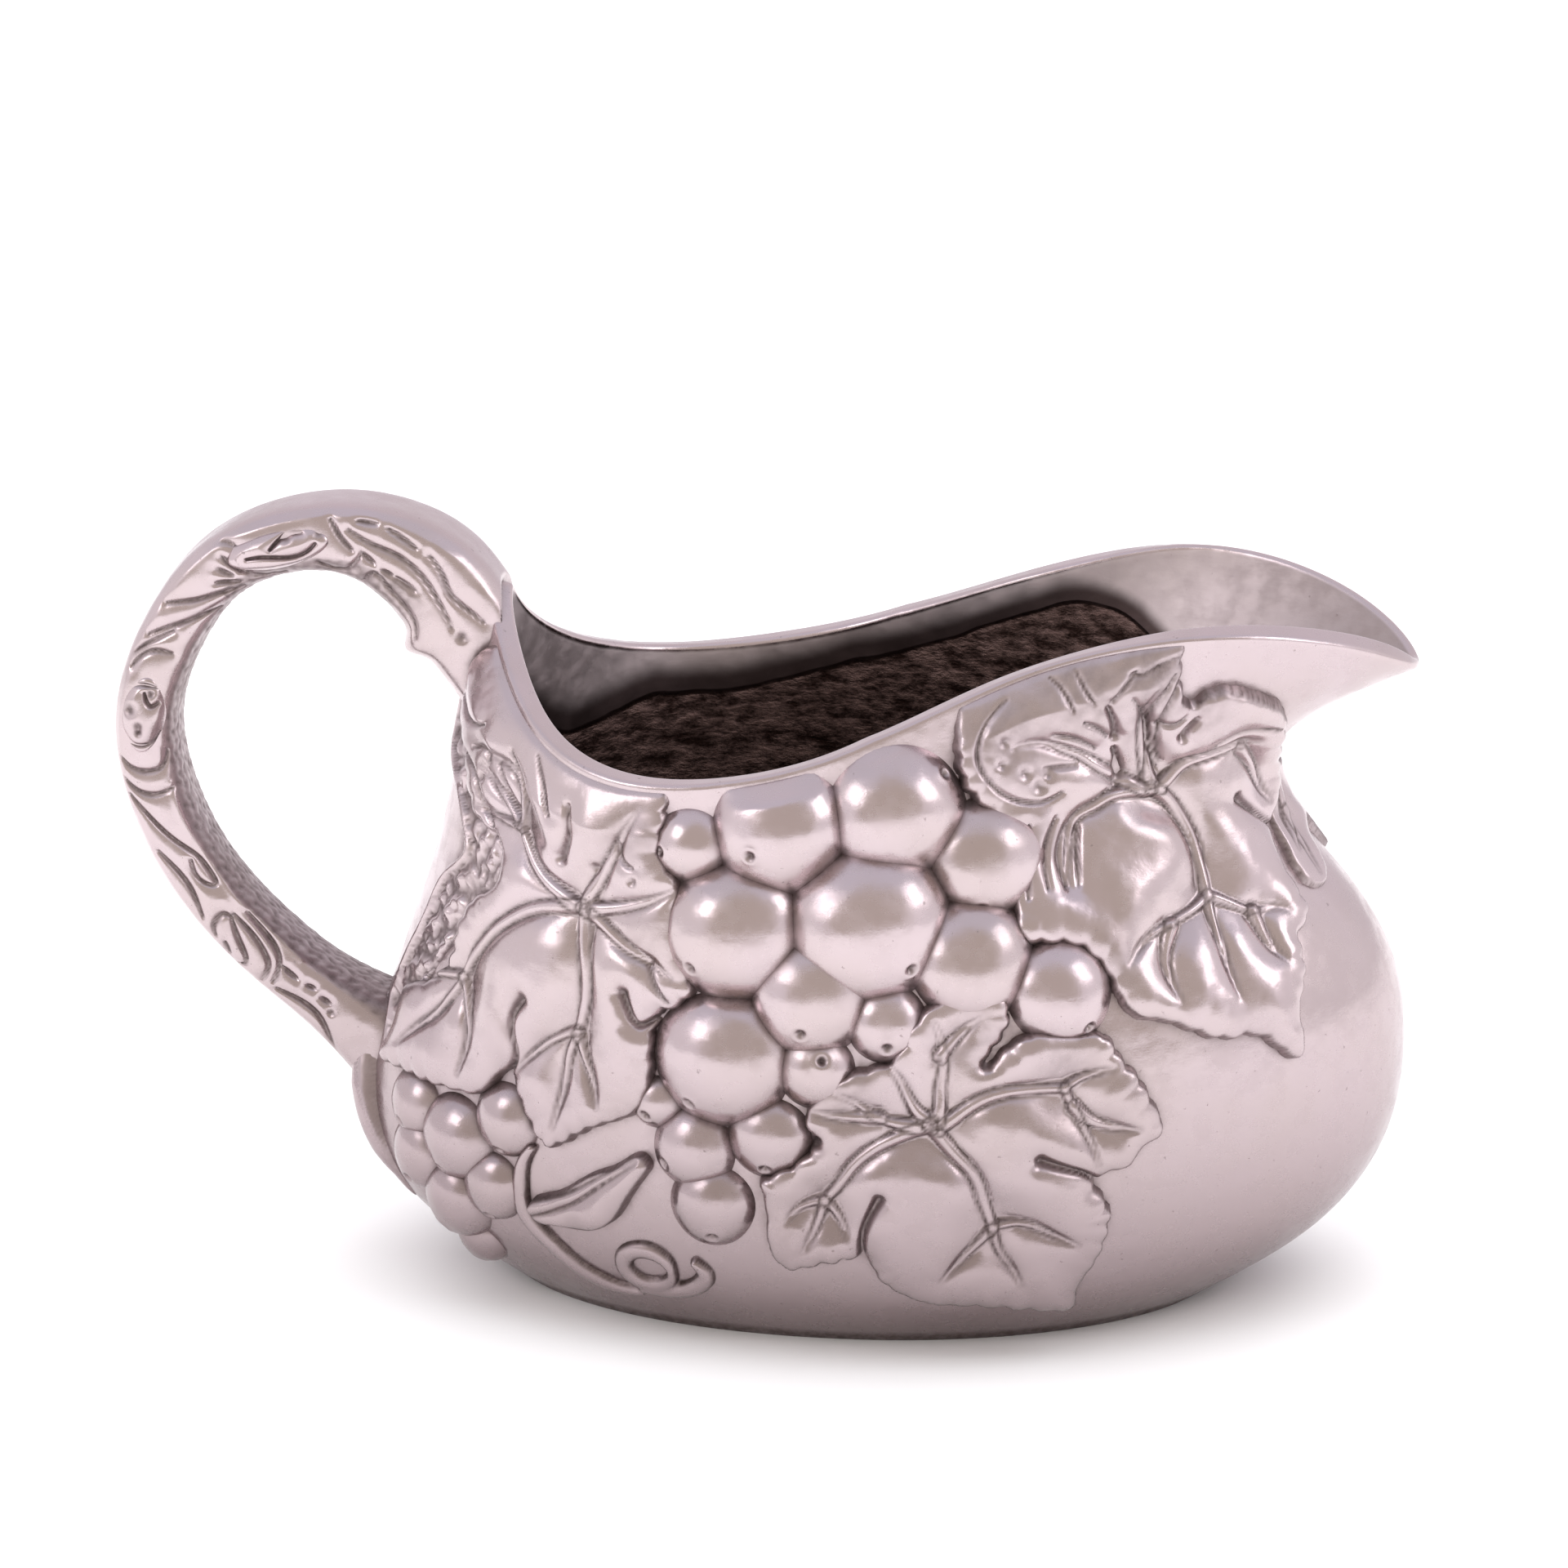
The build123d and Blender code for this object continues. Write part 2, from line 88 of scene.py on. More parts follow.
# Leaves: outlines and veins on a plane laid on the wall at the seat (degrees, height), X towards
# the spout and Y up. A slit is where one lobe folds over the next, wide at its first point.
HANDLE_LEAF = {
    "seat": (125.8, 69.7),
    "outline": [(-42, -31.5), (-37, -32), (-30.5, -32.5), (-24.5, -32.5), (-18.5, -31.5), (-14.5, -27.5),
        (-11.5, -31.5), (-10, -34.5), (-7, -38), (-2, -35.5), (3.5, -32.5), (8, -30), (10.5, -22),
        (11.5, -14.5), (16, -11), (16, -7), (13.5, 1.5), (13.5, 6), (11, 10), (11, 16), (9, 24), (-1, 25),
        (-7.5, 27), (-15.5, 31), (-23, 34), (-30, 35), (-33.5, 27), (-31, 20), (-29, 15), (-24.5, 9),
        (-19.5, 7), (-19, 0.5), (-22, -1.5), (-24.5, -4), (-26.5, -9.5), (-28.5, -14), (-33, -17.5),
        (-37, -19), (-39.5, -25.5)],
    "veins": [[(-1, 0.5), (-10.5, -1.5), (-15, -4), (-19.5, -8), (-23.5, -14.5)],
        [(-23.5, -14.5), (-22, -19), (-21.5, -23), (-23, -29.5)],
        [(-23.5, -14.5), (-27, -19.5), (-31.5, -23.5), (-36.5, -28)],
        [(-23.5, -14.5), (-27.5, -15), (-32, -16), (-36.5, -16.5)],
        [(-1.5, 0), (-1, -4.5), (-0.5, -9), (-0.5, -13.5), (-1.5, -18.5)],
        [(-1.5, -18.5), (-4.5, -20), (-8, -22.5), (-12, -26.5)],
        [(-1.5, -19), (-3, -22.5), (-4, -28.5), (-5.5, -34.5)],
        [(-1.5, -19), (-0.5, -22.5), (1, -26), (2, -30)],
        [(-0.5, 0), (2.5, -2), (6.5, -4.5), (10, -6), (13.5, -8)],
        [(0.5, 0.5), (6.5, 2), (12, 4.5), (13.5, 5.5)],
        [(-1, 1.5), (1.5, 6), (3.5, 10), (5.5, 14), (7, 16.5)],
        [(-3, 0.5), (-9, 3.5), (-12.5, 7), (-14.5, 10)],
        [(-14.5, 10), (-14.5, 13), (-15.5, 17), (-17.5, 19), (-22.5, 20)],
        [(-14.5, 10), (-17.5, 10.5), (-21.5, 11), (-25.5, 11.5)],
        [(-15, 10.5), (-17.5, 13), (-20.5, 15.5), (-24, 18)]],
    "slits": [[(-11, -15.5), (-12.5, -17.5), (-13, -20), (-12.5, -24.5), (-14.5, -28)],
        [(6, -11.5), (7, -14), (8.5, -16), (11.5, -14.5)], [(-5.5, 7.5), (-4.5, 10), (-4, 13), (-4.5, 16)]],
    "grooves": [[(-29, 18.5), (-26, 16.5), (-23.5, 12), (-21.5, 9)],
        [(-26.5, 20), (-23.5, 20.5), (-22.5, 18.5)], [(-20.5, 19), (-18, 15), (-15.5, 12)],
        [(-17.5, 21.5), (-15.5, 18.5), (-13, 14)], [(4, 11.5), (5, 9), (7, 8)],
        [(10, -6.5), (11, -9), (13, -12)], [(-32, 27), (-27.5, 23.5), (-24, 24)],
        [(-12, 22), (-9, 17), (-7.5, 14)]],
    "pits": [(0.3, 7, 0.6), (7, 6, 0.6), (-24, 16, 0.6)],
    "shades": [(-29, 18, 5, 0.35), (7, 13, 5, 0.35), (9, -2, 4, 0.25), (-38, -20, 5, 0.3)],
    "ground": [(-38.5, 33), (-39, 25.5), (-40, 19), (-34, 13), (-30, 7.5), (-28.5, 3.5), (-33.5, -1),
        (-37, -7.5), (-41, -14.5), (-44, -23), (-43.5, -30), (-40, -27), (-30, -12), (-20, -1), (-20, 8),
        (-27, 14), (-30, 20), (-32, 27), (-33, 33)],
    "vine": [(-37.5, 31), (-38, 25.5), (-39, 19), (-33.5, 13), (-29.5, 7.5), (-28, 3.5), (-33, -1),
        (-36.5, -7.5), (-40.5, -14.5), (-43.5, -23), (-43, -30)],
}
SPOUT_LEAF = {
    "seat": (45, 86.7),
    "outline": [(20.5, 10.8), (22, 7.5), (22.5, 3), (23, -2), (21.5, -6.5), (19.5, -10.5), (20.5, -17),
        (22, -22.5), (19.5, -24.3), (19, -29.5), (17, -35), (17.5, -38.5), (16.5, -42), (11, -38), (7, -37),
        (3.5, -37), (-1.5, -35), (-6.5, -33), (-10, -32), (-12.5, -28), (-13.5, -25.5), (-15.5, -23),
        (-18.5, -21), (-25.5, -19.5), (-25.5, -14.5), (-27.5, -1), (-31, 4), (-31.5, 12), (-29, 19),
        (-20, 26), (-8, 28), (0.5, 28), (1, 21), (3.2, 14), (6, 15.4), (9.5, 15.8), (14.5, 14.2),
        (18, 12.6)],
    "veins": [[(-2, 1), (0.5, -1), (3, -5), (4.5, -9.5), (5, -16.5)],
        [(5, -16.5), (5, -20.5), (5.5, -25.5), (6.5, -31)],
        [(5, -16.5), (2.5, -18), (-4.5, -20.5), (-8, -22.5), (-10, -24.5)],
        [(-2, -20), (-4, -24), (-4, -27), (-3, -30.5)],
        [(5, -16.5), (8, -18), (12.5, -20), (15.5, -20), (18, -21)],
        [(12, -20), (13.5, -24.5), (15.5, -27.5)],
        [(-2.5, 0.5), (-8, 0.5), (-11, -1), (-14, -2.5), (-16, -7), (-17.5, -13)],
        [(-2.5, 0.5), (-9, 4.5), (-12.5, 7), (-15.5, 8.5), (-20, 10), (-23.5, 9.5)],
        [(-2, 2), (-3.5, 8), (-4, 12), (-3.5, 15), (-2, 18)],
        [(-0.5, 1), (3, 4), (6.5, 5), (11.5, 6), (16.5, 7)],
        [(13.5, 5.5), (16.5, 1.5), (18, -3), (19.5, -5.5)]],
    "slits": [[(13, -3.5), (14.5, -5), (17.5, -7.5), (20.5, -9.5)], [(-7, 3.5), (-7.3, 6), (-8, 8)],
        [(2.5, 9.5), (3, 10.5), (4.5, 12)], [(-8, 10.5), (-8.5, 12.5), (-9.5, 15)]],
    "grooves": [[(-24, 16.5), (-27.5, 13), (-29, 8), (-27.5, 4.5), (-25, 2), (-20, 0.7), (-16.5, 2)],
        [(-17.5, 11), (-14.5, 10.5), (-11, 8.5)], [(-19, 6), (-16.5, 6), (-14, 6)],
        [(-17.5, 19.5), (-16, 18), (-14.5, 15)], [(-14, 20.5), (-12.5, 17.5), (-11.5, 16)],
        [(-13, 13), (-11, 12), (-9.5, 10.5)], [(-5.5, 20.5), (-7, 18.5), (-9, 16)],
        [(-6, 16.5), (-4.5, 14), (-3, 10.5), (-3, 6.5), (-3, 3)],
        [(0, 19.5), (-1.5, 17), (-3, 13.5), (-2.5, 9.5), (-1, 4)],
        [(1, 18.5), (-0.5, 15.5), (-1.5, 12), (-1.5, 8.5), (-0.5, 5)], [(-2, 12), (0.5, 11.8), (2.5, 12.8)],
        [(8.5, 7), (12.5, 8.7), (17, 9), (20, 8.4)], [(1.5, 17.5), (2, 20), (2, 22)],
        [(-6.5, 20), (-4.5, 20), (-2.5, 21), (1, 22)], [(-16, -3.5), (-18, -8), (-17.5, -13)],
        [(-17.5, -2), (-20, -7), (-20.5, -13)], [(-14, -4), (-15, -8.5), (-15.5, -13)],
        [(-22, -3), (-23, -8), (-23.5, -14)]],
    "pits": [(-25, 10.5, 0.7), (-25.5, 7, 0.7), (-22, 5.5, 0.8), (-18.5, 5, 0.6), (-20, 3.3, 1.1)],
    "shades": [(-24, 11, 7, 0.5), (-13, 18, 7, 0.5), (-2, 20, 7, 0.6), (6, 13, 4, 0.3), (-21, -5, 5, 0.3),
        (-4, 12, 4, 0.4), (-12, -24, 4, 0.25), (8, -38, 4, 0.25)],
}
BASE_LEAF = {
    "seat": (83.4, 40.8),
    "outline": [(26, 12.5), (28.5, 9), (31, 6), (33, 2.5), (35, -2), (34, -4), (32, -5), (30.5, -7.5),
        (28, -8.5), (25, -10), (25.5, -12), (27, -14.5), (27, -17), (26, -21), (24, -25), (22.5, -28),
        (22, -31), (12, -30.5), (1.5, -29.5), (-3.5, -28), (-8, -24.5), (-9.5, -22), (-13.5, -22.5),
        (-16, -23), (-21, -24), (-24, -20), (-24.5, -14), (-25, -10), (-22, -8), (-19, -6), (-17.5, -3.5),
        (-18.5, 0), (-15.5, 5), (-11, 8), (-6, 9.5), (-3.5, 14), (1, 18.5), (7, 20.5), (10, 20.5),
        (11.5, 17.5), (11, 13.5), (8.5, 9.5), (12, 12), (17, 13.5), (21, 13)],
    "veins": [[(0, 0), (3.5, -4.5), (6.5, -8), (8, -12), (9.5, -16.5)],
        [(9.5, -16.5), (7.5, -19), (5, -21.5), (2, -24.5)],
        [(9.5, -16.5), (10.5, -20.5), (12.5, -23.5), (13.5, -25.5)],
        [(9.5, -16.5), (13.5, -16), (17.5, -17.5), (22, -19.5)],
        [(0, -0.5), (-2, -1), (-6.5, -3), (-11, -6.5), (-13.5, -10), (-15.5, -12.5)],
        [(-15.5, -12.5), (-17.5, -13), (-19.5, -14), (-21, -16)],
        [(-15.5, -12.5), (-16.5, -16), (-18.5, -20.5)], [(-15.5, -12.5), (-13.5, -15), (-12, -18.5)],
        [(-1, -0.5), (-4.5, 0), (-7.5, 1), (-10.5, 3), (-13.5, 4.5)], [(-7.5, 1), (-12.5, 1), (-18, 1.5)],
        [(0, 0.5), (-2, 2), (-4, 6), (-6, 9)],
        [(1, 0.5), (1.5, 3), (1.5, 5.5), (2, 9.5), (1.5, 13), (0.5, 15.5)],
        [(1.5, 10.5), (3.5, 13), (7, 16)], [(1.5, -0.5), (3, 0.5), (6.5, 3), (10, 4.5), (15, 5), (20, 5)],
        [(20, 5), (22.5, 6.5), (27, 7.5)], [(20, 5), (21.5, 1.5), (23.5, -2.5), (25, -7)],
        [(21.5, 2), (24.5, -0.5), (31, -2)]],
    "slits": [[(-7.5, -12), (-9, -15), (-10, -18.5), (-9.8, -22)],
        [(16.5, -6), (20.5, -7.5), (23, -8.5), (25, -10)], [(8.5, 9), (10.5, 11.5)],
        [(-17, -3.5), (-20, -4.5)]],
    "shades": [(6, 13, 5, 0.35), (20, 9, 4, 0.3), (-12, 5, 5, 0.35), (31, 5, 4, 0.2), (-21, -18, 4, 0.2)],
}
THROAT_LEAF = {
    "seat": (0, 73),
    "outline": [(0, 13), (8, 11.5), (11.5, 4), (13, -2.5), (11, -5.2), (8, -5.2), (4.5, -1.5), (0, 2.5),
        (-4.5, -1.5), (-8, -5.2), (-11, -5.2), (-13, -2.5), (-11.5, 4), (-8, 11.5)],
    "veins": [[(4, 11), (7, 4), (9.5, -3.5)], [(-4, 11), (-7, 4), (-9.5, -3.5)], [(6, 6.5), (10, 1.5)],
        [(-6, 6.5), (-10, 1.5)]],
    "rise": 0.5,
}
CANE = {
    "seat": (122, 20),
    "outline": [(-9.7, 1.6), (-5, 4), (1, 8), (6, 10.5), (9.5, 12.5), (11, 11), (10, 9), (7, 4.5), (5, 1.5),
        (2, -0.5), (-1.5, -1.2), (-6, -1.4), (-9.6, -1)],
    "veins": [[(-9.2, 1), (-3, 3.6), (3, 7.6), (9, 11.6)]],
}

# ---- Splines ----
def spline_slopes(knots, values, closed):
    """Second derivatives of the cubic spline through values, natural at its ends or closed."""
    n = len(knots)
    step = np.diff(knots)
    rate = np.diff(values, axis=0) / step[:, None]
    system = np.eye(n)
    right = np.zeros_like(values)
    for i in range(1, n - 1):
        system[i, i - 1:i + 2] = step[i - 1], 2 * (step[i - 1] + step[i]), step[i]
        right[i] = 6 * (rate[i] - rate[i - 1])
    if closed:
        system[0, [0, 1, n - 2]] = 2 * (step[0] + step[-1]), step[0], step[-1]
        right[0] = 6 * (rate[0] - rate[-1])
        system[n - 1, [0, n - 1]] = -1, 1
    return np.linalg.solve(system, right)

def spline(knots, values, at, closed=False):
    """The cubic spline through values at knots, read at every number in at."""
    knots, at = np.asarray(knots, float), np.asarray(at, float)
    values = np.asarray(values, float)
    flat = values.reshape(len(knots), -1)
    bend = spline_slopes(knots, flat, closed)
    i = np.clip(np.searchsorted(knots, at, side="right") - 1, 0, len(knots) - 2)
    step = (knots[i + 1] - knots[i])[:, None]
    b = (at - knots[i])[:, None] / step
    a = 1 - b
    line = a * flat[i] + b * flat[i + 1]
    curve = ((a ** 3 - a) * bend[i] + (b ** 3 - b) * bend[i + 1]) * step ** 2 / 6
    return (line + curve).reshape((len(at),) + values.shape[1:])

def smooth_line(points, per_span=6, closed=False):
    """A dense smooth line through points."""
    points = np.asarray(points, float)
    if closed:
        points = np.vstack([points, points[:1]])
    lengths = np.linalg.norm(np.diff(points, axis=0), axis=1) ** 0.6
    knots = np.concatenate([[0], np.cumsum(lengths)])
    at = np.concatenate([np.linspace(a, b, per_span, endpoint=False)
                         for a, b in zip(knots[:-1], knots[1:])] + [knots[-1:]])
    return spline(knots, points, at, closed)

def unit(vectors):
    return vectors / np.linalg.norm(vectors, axis=-1, keepdims=True)

# ---- The wall ----
def ring_points(ring, angles):
    """Points of a closed ring at these angles: 0 at the spout, pi at the handle, front first."""
    ring = np.array(ring, float)[::-1]
    reach = np.where(ring[:, 0] < BELLY_X, BELLY_X - ring[-1, 0], ring[0, 0] - BELLY_X)
    half = np.arccos(np.clip((ring[:, 0] - BELLY_X) / reach, -1, 1))
    knots = np.concatenate([half, 2 * math.pi - half[-2::-1]])
    side = np.concatenate([ring[:, 1:], ring[-2::-1, 1:] * [-1, 1]])
    y, z = spline(knots, side, np.mod(angles, 2 * math.pi), closed=True).T
    x = np.cos(angles)
    x = BELLY_X + x * np.where(x < 0, reach[-1], reach[0])
    return np.stack([x, -y, z], axis=-1)

def wall(angles, shares):
    """Points of the outer wall at pairs of angle and share of the way up."""
    weights = spline(RING_SHARES, np.eye(len(RINGS)), shares)
    rings = np.stack([ring_points(ring, angles) for ring in RINGS])
    return np.einsum("nk,knd->nd", weights, rings)

def wall_slopes(angles, shares, small=1e-3):
    """How the wall's points move with the angle and with the share."""
    around = (wall(angles + small, shares) - wall(angles - small, shares)) / (2 * small)
    up = (wall(angles, shares + small) - wall(angles, shares - small)) / (2 * small)
    return around, up

def wall_normals(angles, shares):
    around, up = wall_slopes(angles, shares)
    return unit(np.cross(up, around))

def share_at(angle, height):
    shares = np.linspace(0, 1, 400)
    return float(np.interp(height, wall(np.full(400, angle), shares)[:, 2], shares))

class Seat:
    """A plane laid on the wall: u along the wall, v up, n outward."""
    def __init__(self, degrees, height):
        self.angle = math.radians(degrees)
        self.share = share_at(self.angle, height)
        angle, share = np.array([self.angle]), np.array([self.share])
        self.origin = wall(angle, share)[0]
        self.n = wall_normals(angle, share)[0]
        self.u = unit(np.cross([0, 0, 1], self.n))
        self.v = np.cross(self.n, self.u)

    def find(self, u, v, steps=14):
        """Angles and shares of the wall's points seen at (u, v) on the plane, by Newton's method."""
        angles = np.full(len(u), self.angle)
        shares = np.full(len(u), self.share)
        axes = np.stack([self.u, self.v])
        for _ in range(steps):
            miss = np.stack([u, v]).T - (wall(angles, shares) - self.origin) @ axes.T
            around, up = wall_slopes(angles, shares)
            a, b = around @ axes.T, up @ axes.T
            turn = a[:, 0] * b[:, 1] - a[:, 1] * b[:, 0]
            turn = np.where(np.abs(turn) < 1, np.sign(turn) + (turn == 0), turn)
            d_angle = (miss[:, 0] * b[:, 1] - miss[:, 1] * b[:, 0]) / turn
            d_share = (miss[:, 1] * a[:, 0] - miss[:, 0] * a[:, 1]) / turn
            angles = np.clip(angles + np.clip(d_angle, -0.25, 0.25), -0.7, math.pi + 0.7)
            shares = np.clip(shares + np.clip(d_share, -0.15, 0.15), -0.01, 1.02)
        return angles, shares

# ---- Meshes ----
def grid_faces(rows, columns, wrap):
    """Quads between rows of points, each row closed on itself if wrap is true."""
    row, column = np.meshgrid(np.arange(rows - 1), np.arange(columns if wrap else columns - 1),
                              indexing="ij")
    right = (column + 1) % columns
    low, high = row * columns, (row + 1) * columns
    return np.stack([low + column, low + right, high + right, high + column], -1).reshape(-1, 4)

def add_piece(name, points, faces, patina_and_shade, material, node, slot, mirrored=False):
    """A smooth piece from points in millimetres, standing for a CAD node."""
    if mirrored:
        points = points * [1, -1, 1]
        faces = faces[:, ::-1]
    mesh = bpy.data.meshes.new(name)
    quads = [list(dict.fromkeys(face)) for face in faces.tolist()]
    mesh.from_pydata((points * MM).tolist(), [], [face for face in quads if len(face) > 2])
    mesh.polygons.foreach_set("use_smooth", [True] * len(mesh.polygons))
    layer = mesh.attributes.new("patina_and_shade", "FLOAT", "POINT")
    layer.data.foreach_set("value", np.clip(patina_and_shade, 0, 1).astype(np.float32))
    mesh.materials.append(material)
    mesh.update()
    piece = bpy.data.objects.new(name, mesh)
    bpy.context.scene.collection.objects.link(piece)
    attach(piece, "root")
    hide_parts(node)
    return piece

def both_sides(name, shape, material, slot):
    """Makes a piece for the front and its mirror image for the back."""
    for side, mirrored in (("front", False), ("back", True)):
        add_piece(f"{name}_{side}_relief", *shape, material, f"{name}_{side}", slot, mirrored)

# ---- The vessel ----
def ripple(points, scale):
    """A smooth uneven pattern from -1 to 1, the same at every run."""
    p = points / scale
    return (np.sin(p[:, 0] * 1.7 + 1.3 * np.sin(p[:, 2] * 1.1 + 0.4) + 0.7 * p[:, 1])
            + np.sin(p[:, 2] * 2.3 + 1.1 * np.sin(p[:, 0] * 0.9 + p[:, 1] * 0.6))
            + np.sin(p[:, 1] * 1.9 - p[:, 0] * 0.8 + 1.7 * np.sin(p[:, 2] * 0.7))) / 3

def vessel_rows(columns):
    """Rows of the vessel from the middle of its underside, over the rim, to its inner floor."""
    angles = np.linspace(0, 2 * math.pi, columns, endpoint=False)
    middle = np.array([FOOT_MIDDLE_X, 0, 0])
    foot = wall(angles, np.zeros(columns))
    rows = [middle + (foot - middle) * [share, share, 1]
            for share in np.linspace(0, 0.97, UNDERSIDE_ROWS)]
    _, climb = wall_slopes(angles, np.ones(columns))
    pace = np.linalg.norm(climb, axis=1)
    rim_start = 1 - RIM_ROUNDING / pace
    for share in np.linspace(0, 1, OUTER_ROWS):
        rows.append(wall(angles, rim_start * share))
    folded = np.minimum(angles, 2 * math.pi - angles)
    thickness = WALL * (1 - LIP_THINNING * np.exp(-(folded / 0.22) ** 2))
    turns = np.linspace(0, math.pi / 2, 7)[1:]
    outer_edge = [(1 - math.sin(t), 1 - math.cos(t)) for t in turns]
    for depth, inset in outer_edge:
        rows.append(inward(angles, 1 - RIM_ROUNDING * depth / pace, RIM_ROUNDING * inset))
    for share in (0.25, 0.5, 0.75):
        flat = RIM_ROUNDING + (thickness - 2 * RIM_ROUNDING) * share
        rows.append(inward(angles, np.ones(columns), flat))
    for depth, inset in [(0, 1)] + outer_edge[-2::-1] + [(1, 0)]:
        rows.append(inward(angles, 1 - RIM_ROUNDING * depth / pace,
                           thickness - RIM_ROUNDING * inset))
    inner_start = len(rows)
    for share in np.linspace(1, 0.075, INNER_ROWS)[1:]:
        rows.append(inward(angles, rim_start * share, thickness))
    low = rows[-1]
    for share in np.linspace(1, 0, 16)[1:]:
        row = middle + (low - middle) * [share, share, 1]
        row[:, 2] = FLOOR_HEIGHT + (low[:, 2] - FLOOR_HEIGHT) * share ** 5
        rows.append(row)
    return rows, inner_start

def inward(angles, shares, inset):
    """The wall's points moved into the wall, without crossing the symmetry plane."""
    points = wall(angles, shares) - wall_normals(angles, shares) * np.reshape(inset, (-1, 1))
    front = (angles > 0) & (angles < math.pi)
    back = angles > math.pi
    points[front, 1] = np.minimum(points[front, 1], -0.02)
    points[back, 1] = np.maximum(points[back, 1], 0.02)
    return points

def build_vessel(material):
    columns = VESSEL_COLUMNS
    rows, inner_start = vessel_rows(columns)
    points = np.concatenate(rows)
    faces = grid_faces(len(rows), columns, True)
    inside = np.zeros(len(points))
    first = inner_start * columns
    rim_points = np.tile(rows[inner_start - 1], (len(rows) - inner_start, 1))
    inside[first:] = np.linalg.norm(points[first:] - rim_points, axis=1) / 100
    points[first:, 2] += 0.12 * ripple(points[first:], 1.6) * np.clip(inside[first:] * 8 - 0.6, 0, 1)
    outside = np.clip(points[:, 2] / 8, 0, 1)
    outside[first:] = 0
    middle = np.array([BELLY_X, 0, 40])
    points += (0.10 * ripple(points, 11.0) * outside)[:, None] * unit(points - middle + 1e-6)
    piece = add_piece("vessel_shell", points, faces, np.zeros(len(points)), material, "vessel",
                      "body_metal")
    layer = piece.data.attributes.new("inside", "FLOAT", "POINT")
    layer.data.foreach_set("value", inside.astype(np.float32))

# ---- Relief on the wall ----
def near_line(u, v, line):
    """Distance from each point to a line, and how far along the line, from 0 to 1, the foot lies."""
    lengths = np.linalg.norm(np.diff(line, axis=0), axis=1)
    starts = np.concatenate([[0], np.cumsum(lengths)])
    best = np.full(len(u), 1e9)
    along = np.zeros(len(u))
    for (ax, ay), (bx, by), length, start in zip(line[:-1], line[1:], lengths, starts):
        t = ((u - ax) * (bx - ax) + (v - ay) * (by - ay)) / max(length ** 2, 1e-9)
        t = np.clip(t, 0, 1)
        distance = np.hypot(u - ax - t * (bx - ax), v - ay - t * (by - ay))
        closer = distance < best
        best[closer] = distance[closer]
        along[closer] = (start + t[closer] * length) / starts[-1]
    return best, along

def near_strokes(u, v, strokes):
    """For each stroke in turn, the points' distances to it and their places along it."""
    for stroke in strokes:
        yield near_line(u, v, smooth_line(stroke))

def inside_line(u, v, line):
    """True for each point inside a closed line."""
    inside = np.zeros(len(u), bool)
    for (ax, ay), (bx, by) in zip(line[:-1], line[1:]):
        if ay != by:
            crosses = (ay > v) != (by > v)
            inside ^= crosses & (u < ax + (v - ay) * (bx - ax) / (by - ay))
    return inside

def edge_distance(u, v, outline, scallop):
    """Distance inside an outline, negative outside it, with small scallops along it."""
    line = smooth_line(outline, 5, closed=True)
    distance, along = near_line(u, v, line)
    length = np.linalg.norm(np.diff(line, axis=0), axis=1).sum()
    count = round(length / 3.4)
    distance = np.where(inside_line(u, v, line), distance, -distance)
    teeth = np.abs(np.sin(math.pi * count * along + 1.1 * np.sin(9 * along * math.pi)))
    return distance + scallop * (0.7 + 0.5 * np.sin(14 * along * math.pi)) * (teeth - 0.6)

LEAF_FADING = 7.0          # distance below the rim over which leaves thin out
GRAPE_FADING = 3.0         # and over which grapes do
LEAF_EDGE = 1.0            # height of a leaf at its edge
LEAF_SWELL = 2.9           # how much higher the middle of a panel between veins stands
SWELL_REACH = 7.5          # distance from a vein or edge over which a panel swells
RIB_WIDTH = 1.2            # half the width of a vein at its start
BRANCH_WIDTH = 0.8         # half the width of a vein where it parts into branches
TIP_WIDTH = 0.35           # half the width of a vein where it ends
RIB = 1.4                  # height of a vein above the leaf's edge
GROOVE_WIDTH = 0.42        # half the width of a carved line
GROOVE_DEPTH = 0.75
SLIT_WIDTH = 0.85          # half the width of a slit at its wide end
SLIT_DEPTH = 1.5
LEAF_PIT_DEPTH = 0.8
LEAF_RIPPLE = 0.28         # unevenness of the hand-modelled surface
VINE_WIDTH = 0.8           # half the width of the thin vine beside the handle leaf
VINE_HEIGHT = 1.3
STEEPNESS = 0.38           # distance over which a leaf's edge rises out of the wall

def swelling(distance, reach):
    """A quarter ellipse: 0 at no distance, 1 from reach on."""
    return np.sqrt(np.clip(1 - (1 - np.clip(distance / reach, 0, 1)) ** 2, 0, 1))

def vein_widths(veins):
    """Half the width of every vein at its start and at its end."""
    starts = np.array([vein[0] for vein in veins])
    ends = np.array([vein[-1] for vein in veins])
    branches = np.linalg.norm(starts[:, None] - ends[None], axis=2) < 1.5
    first = np.where(branches.any(axis=1), BRANCH_WIDTH, RIB_WIDTH)
    last = np.where(branches.any(axis=0), BRANCH_WIDTH, TIP_WIDTH)
    return zip(first, last)

